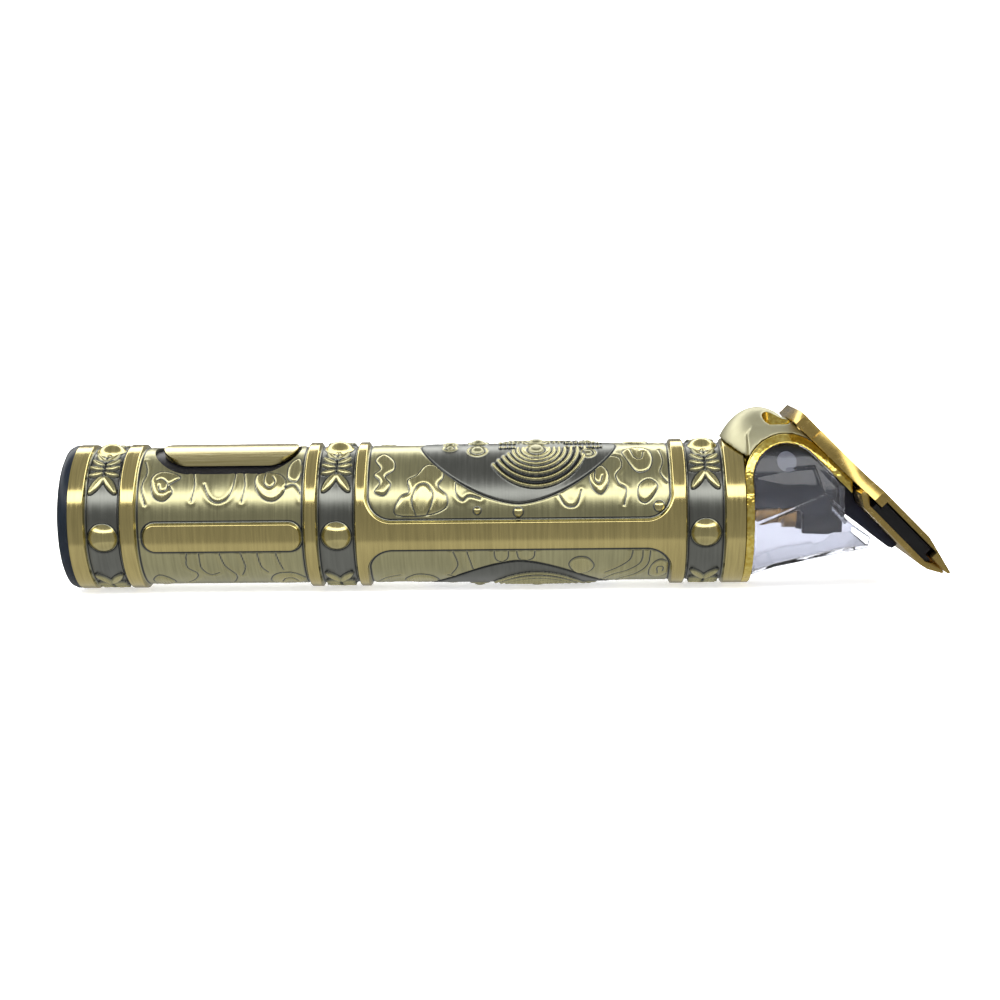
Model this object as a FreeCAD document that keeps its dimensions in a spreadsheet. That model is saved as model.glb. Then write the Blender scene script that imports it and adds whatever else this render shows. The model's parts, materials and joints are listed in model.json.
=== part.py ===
"""Cordless trimmer with a round metal handle and a slanted T-blade.

Every piece is drawn with x measured along the handle's axis from the tail cap's end face
and z measured up from that axis. The node's own Placement then carries it to the part's
frame, whose origin lies under the middle of the trimmer, on the surface that it rests on.
"""
import FreeCAD, Part
import math
import os
import re
import Sketcher
from FreeCAD import Placement, Rotation, Vector

# ---------------------------------------------------------------- driving dimensions (mm)
SIZES = {
    # whole trimmer
    "total_length": 157.31,
    "handle_roll": 11.5,        # the sleeve sits turned about its axis against the head
    # handle sleeve: three radii, and where each ring of its outline ends
    "band_radius": 13.25,
    "panel_radius": 12.55,
    "bore_radius": 11.7,
    "cap_end": 2.15,
    "ring_a_end": 5.0,
    "flower_a_end": 11.4,
    "ring_b_end": 14.1,
    "ring_c_start": 44.35,
    "ring_c_end": 46.55,
    "flower_b_end": 53.45,
    "ring_d_end": 55.35,
    "ring_e_start": 109.85,
    "ring_e_end": 112.35,
    "flower_c_end": 119.25,
    "sleeve_end": 122.75,
    "stud_sphere": 3.15,
    "stud_centre": 10.75,
    "bar_half_height": 2.6,
    "bar_corner": 1.5,
    "lower_bar_start": 15.55,
    "lower_bar_end": 43.55,
    "window_corner": 4.6,
    "medal_centre": 82.55,
    "medal_half_length": 17.6,
    "medal_half_width": 11.5,
    "medal_radius": 12.9,
    # slide switch and its knob
    "opening_start": 16.3,
    "opening_end": 43.0,
    "opening_half_width": 7.3,
    "knob_start": 17.9,
    "knob_end": 42.5,
    "knob_half_width": 5.5,
    "knob_inner": 12.2,
    "knob_outer": 13.1,
    "frame_inner": 11.0,
    "frame_outer": 11.9,
    "frame_gap": 0.1,
    "stem_start": 28.6,
    "stem_end": 31.6,
    "stem_half_width": 1.1,
    "stem_foot": 7.9,
    "switch_travel": 1.5,
    # tail cap, charging socket and boards
    "cap_radius": 13.15,
    "spigot_radius": 11.6,
    "spigot_end": 8.0,
    "cap_floor": 2.6,
    "cap_hollow": 10.4,
    "socket_half_width": 4.47,
    "socket_half_height": 1.63,
    "socket_wall": 0.3,
    "socket_start": 0.5,
    "socket_end": 8.5,
    "light_height": 7.5,
    "light_radius": 0.95,
    "charge_board_end": 9.7,
    "charge_board_radius": 11.3,
    "board_base": 5.8,
    "board_top": 6.8,
    "board_start": 12.5,
    "board_end": 60.0,
    "board_half_width": 8.4,
    "switch_body_top": 10.1,
    # cell and carrier
    "carrier_radius": 11.4,
    "carrier_start": 10.2,
    "carrier_end": 88.0,
    "cell_drop": -1.5,
    "cell_radius": 7.1,
    "cell_start": 13.2,
    "cell_length": 50.0,
    # motor
    "can_radius": 10.0,
    "can_wall": 0.8,
    "can_start": 91.5,
    "can_end": 117.5,
    "shaft_radius": 1.0,
    "bush_clearance": 0.04,
    "bush_radius": 3.0,
    "mount_end": 120.0,
    "motor_screw_height": 6.5,
    # eccentric cam
    "eccentricity": 0.9,
    "pin_radius": 0.75,
    "cam_start": 124.6,
    "cam_disc_start": 131.0,
    "cam_disc_end": 133.2,
    "pin_end": 139.4,
    # head: hood, side arches and clear cover
    "neck_gap": 0.1,
    "neck_radius": 12.9,
    "neck_end": 124.4,
    "dome_centre": 126.15,
    "dome_height": 5.0,
    "dome_long": 8.8,
    "dome_wide": 9.6,
    "dome_tall": 14.0,
    "egg_centre": 2.5,
    "egg_wide": 11.9,
    "egg_tall": 15.5,
    "arch_x": 130.4,
    "arch_z": 6.85,
    "arch_radius": 6.2,
    "trim_width": 1.55,
    "trim_gap": 0.05,
    "hood_start": 123.5,
    "eye_side": 3.9,
    "eye_radius": 1.6,
    "eye_start": 128.2,
    "eye_end": 130.2,
    "eye_floor": 15.4,
    "channel_half_width": 7.2,
    "channel_roof": 3.9,
    "cover_gap": 0.15,
    "cover_wall": 1.0,
    "seat_gap": 0.5,
    # blade plane: a point of the outer face, and its slope against the axis
    "blade_angle": 45.77,
    "blade_x": 138.44,
    "blade_z": 13.0,
    "seat_depth": 2.3,
    "blade_thick": 2.25,
    "blade_back": 8.0,
    "blade_half_width": 20.0,
    "blade_tip": 28.8,
    "bevel_start": 21.8,
    "tip_drop": 1.7,
    "groove_start": 12.2,
    "groove_end": 24.6,
    "groove_roof": 0.95,
    "tooth_root": 25.2,
    "tooth_pitch": 1.3333,
    "tooth_gap": 0.55,
    "cutter_half_width": 18.0,
    "cutter_pitch": 1.6,
    "cutter_gap": 0.7,
    "cutter_root": 26.3,
    "insert_half_width": 17.5,
    "follower_half_width": 8.8,
    "boss_start": 134.0,
    "boss_end": 141.0,
    "boss_half_width": 4.6,
    "boss_foot": -3.6,
    "boss_top": 3.4,
    "slot_half_width": 2.75,
    "slot_top": 2.2,
    "screw_along": -4.6,
    "screw_side": 5.0,
    "screw_radius": 1.5,
    "screw_head": 2.9,
    "screw_sink": 1.4,
    "screw_depth": 8.5,
    "screw_clearance": 0.05,
    "spring_wire": 0.45,
    "spring_depth": 8.0,
    "spring_bend": 1.5,
    "spring_root": 1.0,
    "spring_tip": 12.5,
    "spring_side": 6.5,
    "plenty": 40.0,             # reach of a cutting body that goes past everything
}

doc = FreeCAD.newDocument("trimmer")
sheet = doc.addObject("Spreadsheet::Sheet", "Sizes")
for row, (word, number) in enumerate(SIZES.items(), start=1):
    sheet.set("A%d" % row, word)
    sheet.set("B%d" % row, str(number))
    sheet.setAlias("B%d" % row, word)
doc.recompute()

FUNCTIONS = ("cos", "sin", "tan", "sqrt")
NODES = []


def bound(text):
    """Write a formula over the sheet's words the way FreeCAD reads it."""
    return re.sub(r"[a-z_]{3,}", lambda word: word[0] if word[0] in FUNCTIONS else "Sizes." + word[0],
                  str(text))


# ---------------------------------------------------------------- ways to make a solid
def plane_sketch(body, role, start):
    """An empty sketch on one of the body's own origin planes, moved along its normal."""
    sketch = body.newObject("Sketcher::SketchObject", body.Name + "_sketch")
    plane = next(item for item in body.Origin.OriginFeatures if item.Role == role)
    sketch.AttachmentSupport = [(plane, "")]
    sketch.MapMode = "FlatFace"
    sketch.setExpression("AttachmentOffset.Base.z", bound(start))
    return sketch


def hold(sketch, kind, geometry, point, text, guess):
    index = sketch.addConstraint(Sketcher.Constraint(kind, -1, 1, geometry, point, guess))
    sketch.setExpression("Constraints[%d]" % index, bound(text))


def draw_polygon(sketch, points):
    count = len(points)
    first = [Vector(20 * math.cos(0.3 + 2 * math.pi * i / count),
                    20 * math.sin(0.3 + 2 * math.pi * i / count), 0) for i in range(count)]
    for i in range(count):
        sketch.addGeometry(Part.LineSegment(first[i], first[(i + 1) % count]), False)
    for i in range(count):
        sketch.addConstraint(Sketcher.Constraint("Coincident", i, 2, (i + 1) % count, 1))
    for i, (across, up) in enumerate(points):
        hold(sketch, "DistanceX", i, 1, across, first[i].x)
        hold(sketch, "DistanceY", i, 1, up, first[i].y)


def draw_circle(sketch, across, up, radius):
    sketch.addGeometry(Part.Circle(Vector(1, 1, 0), Vector(0, 0, 1), 3), False)
    hold(sketch, "DistanceX", 0, 3, across, 1)
    hold(sketch, "DistanceY", 0, 3, up, 1)
    index = sketch.addConstraint(Sketcher.Constraint("Radius", 0, 3))
    sketch.setExpression("Constraints[%d]" % index, bound(radius))


def pad(body, sketch, length):
    feature = body.newObject("PartDesign::Pad", body.Name + "_pad")
    feature.Profile = sketch
    feature.setExpression("Length", bound(length))
    return feature


def slab(name, role, points, start, length):
    """A straight-sided block: a polygon on an origin plane, padded along its normal."""
    body = doc.addObject("PartDesign::Body", name)
    sketch = plane_sketch(body, role, start)
    draw_polygon(sketch, points)
    pad(body, sketch, length)
    return body


def across(name, points, half_width):
    """A side profile (x, z), made as wide as half_width each side of the middle plane."""
    return slab(name, "XZ_Plane", points, "-(%s)" % half_width, "2*(%s)" % half_width)


def crate(name, low, high):
    """A box between two corners, each given as three formulas."""
    points = [(low[0], low[1]), (high[0], low[1]), (high[0], high[1]), (low[0], high[1])]
    return slab(name, "XY_Plane", points, low[2], "(%s)-(%s)" % (high[2], low[2]))


def rod(name, start, end, radius, side="0", height="0", role="YZ_Plane"):
    """A round bar along x, or along y or z when another plane's role is given."""
    body = doc.addObject("PartDesign::Body", name)
    sketch = plane_sketch(body, role, start)
    draw_circle(sketch, side, height, radius)
    pad(body, sketch, "(%s)-(%s)" % (end, start))
    return body


def turned(name, points):
    """A piece turned about the handle's axis from an outline of (x, radius)."""
    body = doc.addObject("PartDesign::Body", name)
    sketch = plane_sketch(body, "XZ_Plane", "0")
    draw_polygon(sketch, points)
    feature = body.newObject("PartDesign::Revolution", name + "_turn")
    feature.Profile = sketch
    feature.ReferenceAxis = (sketch, ["H_Axis"])
    feature.Angle = 360
    return body


def ring(name, start, end, inner, outer):
    return turned(name, [(start, inner), (end, inner), (end, outer), (start, outer)])


def soften(body, direction, radius, wanted=lambda edge: True):
    """Round the body's straight edges that run along one direction."""
    doc.recompute()
    base = body.Tip
    names = []
    for number, edge in enumerate(base.Shape.Edges, start=1):
        if edge.Curve.TypeId == "Part::GeomLine" and abs(edge.Curve.Direction * direction) > 0.99:
            if wanted(edge):
                names.append("Edge%d" % number)
    feature = body.newObject("PartDesign::Fillet", body.Name + "_round")
    feature.Base = (base, names)
    feature.setExpression("Radius", bound(radius))
    return body


def oval_bar(name, half_width, half_height, start="sleeve_end-8", end="150"):
    """An egg-section bar along x: the head's cross-section, centred above the axis."""
    body = doc.addObject("PartDesign::Body", name)
    sketch = plane_sketch(body, "YZ_Plane", start)
    sketch.addGeometry(Part.Ellipse(Vector(0, 17, 0), Vector(11, 2, 0), Vector(0, 2, 0)), False)
    sketch.exposeInternalGeometry(0)
    sketch.addConstraint(Sketcher.Constraint("Vertical", 1))
    hold(sketch, "DistanceX", 0, 3, "0", 0)
    hold(sketch, "DistanceY", 0, 3, "egg_centre", 2)
    for axis, text in ((1, half_height), (2, half_width)):
        index = sketch.addConstraint(Sketcher.Constraint("Distance", axis, 20 + axis))
        sketch.setExpression("Constraints[%d]" % index, bound("2*(%s)" % text))
    pad(body, sketch, "(%s)-(%s)" % (end, start))
    return body


def sphere(name, x, y, z, radius):
    ball = doc.addObject("Part::Sphere", name)
    ball.setExpression("Radius", bound(radius))
    for axis, text in zip("xyz", (x, y, z)):
        ball.setExpression("Placement.Base." + axis, bound(text))
    return ball


def fuse(name, shapes):
    joined = doc.addObject("Part::MultiFuse", name)
    joined.Shapes = shapes
    return joined


def common(name, shapes):
    shared = doc.addObject("Part::MultiCommon", name)
    shared.Shapes = shapes
    return shared


def cut(name, base, tools):
    result = doc.addObject("Part::Cut", name)
    result.Base = base
    result.Tool = tools[0] if len(tools) == 1 else fuse(name + "_tools", tools)
    return result


def place(item, x, z, axis, angle):
    item.Placement = Placement(Vector(0, 0, 0), Rotation(axis, 10))
    item.setExpression("Placement.Base.x", bound(x))
    item.setExpression("Placement.Base.z", bound(z))
    item.setExpression("Placement.Rotation.Angle", bound(angle))


AXIS_HEIGHT = "stud_centre*cos(handle_roll)+stud_sphere"
ALONG = Vector(1, 0, 0)
SIDEWAYS = Vector(0, 1, 0)


def node(item, label, frame="head"):
    """Name a finished piece and carry it from its drawing frame to the part's frame."""
    item.Label = label
    if frame == "handle":
        place(item, "-total_length/2", AXIS_HEIGHT, ALONG, "handle_roll")
    elif frame == "blade":
        place(item, "blade_x-total_length/2", "blade_z+" + AXIS_HEIGHT, SIDEWAYS, "blade_angle")
    else:
        place(item, "-total_length/2", AXIS_HEIGHT, ALONG, "0")
    NODES.append(item)


# ---------------------------------------------------------------- handle sleeve
def make_sleeve():
    """A cast tube: plain bands at full radius, sunk panels and flower bands between them,
    a raised bar along each side, half-round studs, an oval field above and below, and the
    opening for the switch."""
    steps = [("cap_end", "band_radius"), ("ring_a_end", "band_radius"), ("ring_a_end", "panel_radius"),
             ("flower_a_end", "panel_radius"), ("flower_a_end", "band_radius"),
             ("ring_c_end", "band_radius"), ("ring_c_end", "panel_radius"),
             ("flower_b_end", "panel_radius"), ("flower_b_end", "band_radius"),
             ("ring_e_end", "band_radius"), ("ring_e_end", "panel_radius"),
             ("flower_c_end", "panel_radius"), ("flower_c_end", "band_radius"),
             ("sleeve_end", "band_radius"), ("sleeve_end", "bore_radius-1"), ("cap_end", "bore_radius-1")]
    core = turned("sleeve_core", steps)

    studs = []
    for band, (start, end) in {"a": ("ring_a_end", "flower_a_end"), "b": ("ring_c_end", "flower_b_end"),
                               "c": ("ring_e_end", "flower_c_end")}.items():
        middle = "(%s+%s)/2" % (start, end)
        for side, y, z in (("near", "-stud_centre", "0"), ("far", "stud_centre", "0"),
                           ("top", "0", "stud_centre"), ("under", "0", "-stud_centre")):
            studs.append(sphere("stud_%s_%s" % (band, side), middle, y, z, "stud_sphere"))

    beyond = "band_radius+3"
    lower_ring = ring("lower_ring", "ring_b_end", "ring_c_start", "panel_radius", beyond)
    lower_bar = across("lower_bar", [("lower_bar_start", "-bar_half_height"),
                                     ("lower_bar_end", "-bar_half_height"),
                                     ("lower_bar_end", "bar_half_height"),
                                     ("lower_bar_start", "bar_half_height")], "plenty")
    soften(lower_bar, SIDEWAYS, "bar_corner")
    lower_panel = cut("lower_panel", lower_ring, [lower_bar])

    upper_ring = ring("upper_ring", "ring_d_end", "ring_e_start", "panel_radius", beyond)
    windows = []
    for name, sign in (("window_top", 1), ("window_under", -1)):
        edge, far = "%d*bar_half_height" % sign, "%d*plenty" % sign
        window = across(name, [("ring_d_end", edge), ("ring_e_start", edge),
                               ("ring_e_start", far), ("ring_d_end", far)], "plenty")
        windows.append(soften(window, SIDEWAYS, "window_corner",
                              lambda one: abs(one.CenterOfMass.z) < 2 * SIZES["bar_half_height"]))
    upper_panel = common("upper_panel", [upper_ring, fuse("windows", windows)])

    opening = crate("opening", ("opening_start", "-opening_half_width", "0"),
                    ("opening_end", "opening_half_width", "plenty"))
    soften(opening, Vector(0, 0, 1), "opening_half_width-0.01")
    bore = rod("sleeve_bore", "-1", "sleeve_end+1", "bore_radius")

    field = doc.addObject("Part::Ellipsoid", "field_outline")
    field.setExpression("Radius1", bound("1.5*plenty"))
    field.setExpression("Radius2", bound("medal_half_length"))
    field.setExpression("Radius3", bound("medal_half_width"))
    field.setExpression("Placement.Base.x", bound("medal_centre"))
    field_ring = ring("field_ring", "ring_d_end+2", "ring_e_start-2", "panel_radius-0.2", "medal_radius")
    fields = common("fields", [field_ring, field])

    sunk = cut("sleeve_sunk", core, [lower_panel, upper_panel])
    raised = fuse("sleeve_raised", [sunk, fields] + studs)
    node(cut("sleeve", raised, [bore, opening]), "handle_sleeve", "handle")


# ---------------------------------------------------------------- slide switch
def pill(name, start, end, half_width, foot="0"):
    """An upright block with half-round ends, for cutting switch pieces out of rings."""
    body = crate(name, (start, "-(%s)" % half_width, foot), (end, half_width, "plenty"))
    return soften(body, Vector(0, 0, 1), "(%s)-0.01" % half_width)


def make_switch():
    """The knob is a saddle that slides along the sleeve over a sunk bezel. A stem under it
    reaches through the bezel's slot into the electrical switch on the board."""
    knob_ring = ring("knob_ring", "cap_end", "ring_c_end", "knob_inner", "knob_outer")
    knob_pill = pill("knob_pill", "knob_start", "knob_end", "knob_half_width")
    node(common("knob", [knob_ring, knob_pill]), "switch_knob", "handle")

    stem = crate("stem", ("stem_start", "-stem_half_width", "stem_foot"),
                 ("stem_end", "stem_half_width", "plenty"))
    under_knob = rod("under_knob", "cap_end", "ring_c_end", "knob_inner")
    node(common("slider", [stem, under_knob]), "switch_slider", "handle")

    slot_low = ("stem_start-switch_travel-0.3", "-stem_half_width-0.3", "stem_foot-0.3")
    slot_high = ("stem_end+0.3", "stem_half_width+0.3", "plenty")
    frame_ring = ring("frame_ring", "cap_end", "ring_c_end", "frame_inner", "frame_outer")
    frame_pill = pill("frame_pill", "opening_start+frame_gap", "opening_end-frame_gap",
                      "opening_half_width-frame_gap")
    bezel = common("bezel", [frame_ring, frame_pill])
    node(cut("frame", bezel, [crate("frame_slot", slot_low, slot_high)]), "switch_frame", "handle")

    switch_body = crate("switch_body", ("stem_start-3.8", "-3.6", "board_top"),
                        ("stem_end+3.2", "3.6", "switch_body_top"))
    node(cut("switch", switch_body, [crate("switch_slot", slot_low, slot_high)]), "slide_switch", "handle")


# ---------------------------------------------------------------- tail, boards and cell
def make_tail():
    """A plastic plug with a charging socket and a light pipe, and the board behind them."""
    cap_core = turned("cap_core", [("0", "0"), ("0", "cap_radius-1.25"), ("0.4", "cap_radius-0.4"),
                                   ("1.2", "cap_radius"), ("cap_end", "cap_radius"),
                                   ("cap_end", "spigot_radius"), ("spigot_end", "spigot_radius"),
                                   ("spigot_end", "cap_hollow"), ("cap_floor", "cap_hollow"),
                                   ("cap_floor", "0")])
    port = crate("port", ("-1", "-socket_half_width-0.15", "-socket_half_height-0.15"),
                 ("cap_floor+1", "socket_half_width+0.15", "socket_half_height+0.15"))
    soften(port, ALONG, "socket_half_height")
    light_hole = rod("light_hole", "-1", "cap_floor+1", "light_radius+0.05", "0", "light_height")
    node(cut("cap", cap_core, [port, light_hole]), "tail_cap", "handle")

    shell = crate("shell", ("socket_start", "-socket_half_width", "-socket_half_height"),
                  ("socket_end", "socket_half_width", "socket_half_height"))
    soften(shell, ALONG, "socket_half_height-0.05")
    hollow = crate("hollow", ("0", "socket_wall-socket_half_width", "socket_wall-socket_half_height"),
                   ("socket_end-0.6", "socket_half_width-socket_wall", "socket_half_height-socket_wall"))
    soften(hollow, ALONG, "socket_half_height-socket_wall-0.05")
    node(cut("socket", shell, [hollow]), "usb_socket", "handle")
    node(crate("tongue", ("socket_start+0.8", "-3.3", "-0.35"), ("socket_end-0.6", "3.3", "0.35")),
         "usb_tongue", "handle")
    node(rod("light", "0.15", "socket_end", "light_radius", "0", "light_height"), "charge_light", "handle")
    node(rod("charge_disc", "socket_end", "charge_board_end", "charge_board_radius"),
         "charge_board", "handle")


def make_power():
    """The cell lies low in a plastic cradle, with the main board along its open top."""
    cradle = rod("cradle", "carrier_start", "carrier_end", "carrier_radius")
    cell_bore = rod("cell_bore", "cell_start-0.8", "cell_start+cell_length+3", "cell_radius+0.3",
                    "0", "cell_drop")
    trough = crate("trough", ("carrier_start-1", "-plenty", "board_base"),
                   ("board_end+1", "plenty", "plenty"))
    front_bore = rod("front_bore", "cell_start+cell_length+5", "carrier_end+1", "carrier_radius-1.6")
    node(cut("carrier", cradle, [cell_bore, trough, front_bore]), "inner_carrier", "handle")

    can = rod("cell_can", "cell_start", "cell_start+cell_length", "cell_radius", "0", "cell_drop")
    nub = rod("cell_nub", "cell_start+cell_length", "cell_start+cell_length+0.8", "2.8", "0", "cell_drop")
    node(fuse("cell", [can, nub]), "battery_cell", "handle")
    node(rod("tab_rear", "cell_start-0.7", "cell_start-0.1", "5.5", "0", "cell_drop"),
         "cell_contact_rear", "handle")
    node(rod("tab_front", "cell_start+cell_length+0.9", "cell_start+cell_length+1.5", "5.5", "0",
             "cell_drop"), "cell_contact_front", "handle")
    node(crate("board", ("board_start", "-board_half_width", "board_base"),
               ("board_end", "board_half_width", "board_top")), "main_board", "handle")


# ---------------------------------------------------------------- motor
def make_motor():
    """A brushed motor in a steel can, screwed to a bulkhead at the neck."""
    inner = "can_radius-can_wall"
    can_core = turned("can_core", [("can_start", inner), ("can_start", "can_radius"),
                                   ("can_end", "can_radius"), ("can_end", "bush_radius"),
                                   ("can_end-1", "bush_radius"), ("can_end-1", inner)])
    mount_core = ring("mount_core", "can_end+0.1", "mount_end", "bush_radius", "spigot_radius")
    screws, can_holes, mount_holes = [], [], []
    for name, height in (("upper", "motor_screw_height"), ("lower", "-motor_screw_height")):
        shank = rod(name + "_shank", "can_end-1", "mount_end", "1", "0", height)
        head = rod(name + "_head", "mount_end", "mount_end+1.2", "1.9", "0", height)
        screws.append(fuse(name + "_motor_screw", [shank, head]))
        can_holes.append(rod(name + "_can_hole", "can_end-2", "can_end+0.05", "1.05", "0", height))
        mount_holes.append(rod(name + "_mount_hole", "can_end", "mount_end+1", "1.05", "0", height))
    node(cut("can", can_core, can_holes), "motor_can")
    node(cut("mount", mount_core, mount_holes), "motor_mount")
    node(fuse("screws_of_motor", screws), "motor_screws")

    node(turned("end_cap", [("can_start-1.7", "bush_radius-1"), ("can_start-1.7", "can_radius-0.1"),
                            ("can_start", "can_radius-0.1"), ("can_start", inner + "-0.1"),
                            ("can_start+2", inner + "-0.1"), ("can_start+2", "bush_radius-1")]),
         "motor_end_cap")
    magnet_ring = ring("magnet_ring", "can_start+3.5", "can_end-4.5", inner + "-1.6", inner)
    magnet_gap = crate("magnet_gap", ("can_start", "-plenty", "-2"), ("can_end", "plenty", "2"))
    node(cut("magnets", magnet_ring, [magnet_gap]), "motor_magnets")
    node(ring("core", "can_start+5.5", "can_end-6.5", "shaft_radius", inner + "-2.3"), "rotor_core")
    node(ring("segments", "can_start+2.5", "can_start+5.1", "shaft_radius", "2.6"), "commutator")
    node(rod("shaft", "can_start-1.2", "cam_disc_start-1.2", "shaft_radius"), "motor_shaft")
    running = "shaft_radius+bush_clearance"
    node(ring("bush_front", "can_end-1", "mount_end-0.6", running, "bush_radius"), "front_bush")
    node(ring("bush_rear", "can_start-1.5", "can_start+1.6", running, "bush_radius-1"), "rear_bush")


def make_cam():
    """A brass hub pressed on the shaft, with a disc that carries the offset drive pin."""
    collar = turned("collar", [("cam_start", "shaft_radius"), ("cam_start", "2.1"),
                               ("cam_disc_start", "2.1"), ("cam_disc_start", "2.9"),
                               ("cam_disc_end", "2.9"), ("cam_disc_end", "0"),
                               ("cam_disc_start-1.2", "0"), ("cam_disc_start-1.2", "shaft_radius")])
    pin = rod("pin", "cam_disc_end", "pin_end", "pin_radius", "0", "eccentricity")
    node(fuse("cam", [collar, pin]), "eccentric_cam")


# ---------------------------------------------------------------- head
def arch(name, radius, half_width="plenty"):
    """The side opening of the hood: upright behind, round above, sloped like the blade."""
    far = 16
    slope = [("arch_x-(%s)" % radius, "-16"), ("arch_x-(%s)" % radius, "arch_z"),
             ("arch_x+(%s)*sin(blade_angle)" % radius, "arch_z+(%s)*cos(blade_angle)" % radius),
             ("arch_x+(%s)*sin(blade_angle)+%d*cos(blade_angle)" % (radius, far),
              "arch_z+(%s)*cos(blade_angle)-%d*sin(blade_angle)" % (radius, far)),
             ("arch_x+(%s)*sin(blade_angle)+%d*cos(blade_angle)" % (radius, far), "-16")]
    side = across(name + "_side", slope, half_width)
    crown = rod(name + "_crown", "-(%s)" % half_width, half_width, radius, "arch_x", "arch_z",
                role="XZ_Plane")
    return fuse(name, [side, crown])


def on_blade(along, depth):
    """A point of the blade's own frame as (x, z): along its slope, and below its face."""
    return ("blade_x+(%s)*cos(blade_angle)-(%s)*sin(blade_angle)" % (along, depth),
            "blade_z-(%s)*sin(blade_angle)-(%s)*cos(blade_angle)" % (along, depth))


def screw_shapes(name, slack):
    """The two countersunk screws in the blade's frame, or their holes with some slack."""
    shapes = []
    for side, sign in (("near", -1), ("far", 1)):
        y = "%d*screw_side" % sign
        shank = rod("%s_%s_shank" % (name, side), "-screw_depth", "-screw_sink",
                    "screw_radius+%s" % slack, "screw_along", y, role="XY_Plane")
        head = doc.addObject("Part::Cone", "%s_%s_head" % (name, side))
        head.setExpression("Radius1", bound("screw_radius+%s" % slack))
        head.setExpression("Radius2", bound("screw_head+%s" % slack))
        head.setExpression("Height", bound("screw_sink"))
        for axis, text in zip("xyz", ("screw_along", y, "-screw_sink")):
            head.setExpression("Placement.Base." + axis, bound(text))
        shapes += [shank, head]
    return fuse(name, shapes)


def make_hood():
    """The hood is a dome that bulges back over the sleeve and runs forward under the blade.
    Its side arches are edged by a polished trim, which also forms the neck flange."""
    dome = doc.addObject("Part::Ellipsoid", "dome")
    dome.setExpression("Radius1", bound("dome_tall"))
    dome.setExpression("Radius2", bound("dome_long"))
    dome.setExpression("Radius3", bound("dome_wide"))
    dome.setExpression("Placement.Base.x", bound("dome_centre"))
    dome.setExpression("Placement.Base.z", bound("dome_height"))
    back_x, back_z = on_blade("-blade_back+0.4", "seat_depth")
    front_x, front_z = on_blade("7", "seat_depth")
    shoulder = across("shoulder", [("hood_start", "-5"), ("hood_start", "dome_height+9.5"),
                                   ("dome_centre", "dome_height+13"), (back_x, back_z),
                                   (front_x, front_z), (front_x, "-5")], "plenty")
    egg = oval_bar("hood_egg", "egg_wide", "egg_tall")
    hood_mass = fuse("hood_mass", [dome, common("hood_front", [shoulder, egg])])
    over_sleeve = rod("over_sleeve", "ring_c_end", "hood_start", "band_radius+0.2")
    over_neck = rod("over_neck", "sleeve_end", "neck_end+trim_gap", "neck_radius+trim_gap")
    eyes = []
    for side, sign in (("near", -1), ("far", 1)):
        middle = "%d*eye_side" % sign
        eyes += [rod("eye_%s_%s" % (side, end), "eye_floor", "plenty", "eye_radius", "eye_" + end,
                     middle, role="XY_Plane") for end in ("start", "end")]
        eyes.append(crate("eye_%s_middle" % side, ("eye_start", middle + "-eye_radius", "eye_floor"),
                          ("eye_end", middle + "+eye_radius", "plenty")))
    holes = fuse("hood_holes", [screw_shapes("hood_screws", "screw_clearance")])
    place(holes, "blade_x", "blade_z", SIDEWAYS, "blade_angle")
    outer_arch = arch("outer_arch", "arch_radius+trim_width+trim_gap")
    node(cut("hood", hood_mass, [outer_arch, over_sleeve, over_neck, holes] + eyes), "neck_housing")

    trim_outer = arch("trim_outer", "arch_radius+trim_width")
    trim_inner = arch("trim_inner", "arch_radius")
    trim_egg = oval_bar("trim_egg", "egg_wide+0.3", "egg_tall+0.3")
    past_front = crate("past_front", (front_x, "-plenty", "-plenty"), ("200", "plenty", "plenty"))
    between = crate("between", ("arch_x+8", "-10.3", "-plenty"), ("200", "10.3", "plenty"))
    passage = rod("passage", "sleeve_end-3", "neck_end+1", "cap_hollow-0.2")
    band = cut("trim_band", common("trim_stock", [trim_outer, trim_egg]),
               [trim_inner, past_front, between])
    flange = ring("flange", "sleeve_end+neck_gap", "neck_end", "cap_hollow-0.2", "neck_radius")
    spigot = ring("spigot", "mount_end+0.1", "sleeve_end+neck_gap", "cap_hollow-0.2", "spigot_radius")
    behind = rod("behind", "100", "sleeve_end+neck_gap", "plenty")
    rim = cut("trim_rim", band, [behind])
    trim_holes = screw_shapes("trim_screws", "screw_clearance")
    place(trim_holes, "blade_x", "blade_z", SIDEWAYS, "blade_angle")
    node(cut("trim", fuse("trim_mass", [rim, flange, spigot]), [passage, trim_holes]), "arch_trim")


def make_cover():
    """A clear shell inside the arches: two curved side walls and a floor that sweeps up."""
    floor = [("neck_end+0.05", "-11.3"), ("neck_end+4.2", "-9.6"), ("neck_end+10.8", "-8"),
             ("neck_end+16.5", "-6.75")]
    outer = floor + [("neck_end+20.4", "-6"), ("neck_end+20.8", "-3.8"), ("neck_end+16", "-0.3"),
                     ("neck_end+16", "plenty/2"), ("neck_end+0.05", "plenty/2")]
    inner = [(x, z + "+cover_wall") for x, z in floor]
    inner[0] = ("neck_end-1", "-10.7")
    inner += [("neck_end+26", "-4.6"), ("neck_end+26", "plenty"), ("neck_end-1", "plenty")]
    skin = common("cover_skin", [across("cover_side", outer, "plenty"),
                                 arch("cover_arch", "arch_radius-cover_gap"),
                                 oval_bar("cover_egg", "egg_wide-0.3", "egg_tall-0.4")])
    room = common("cover_room", [across("cover_inside", inner, "plenty"),
                                 oval_bar("room_egg", "egg_wide-0.3-cover_wall",
                                          "egg_tall-0.4-cover_wall")])
    node(cut("cover", skin, [room]), "clear_cover")


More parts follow.
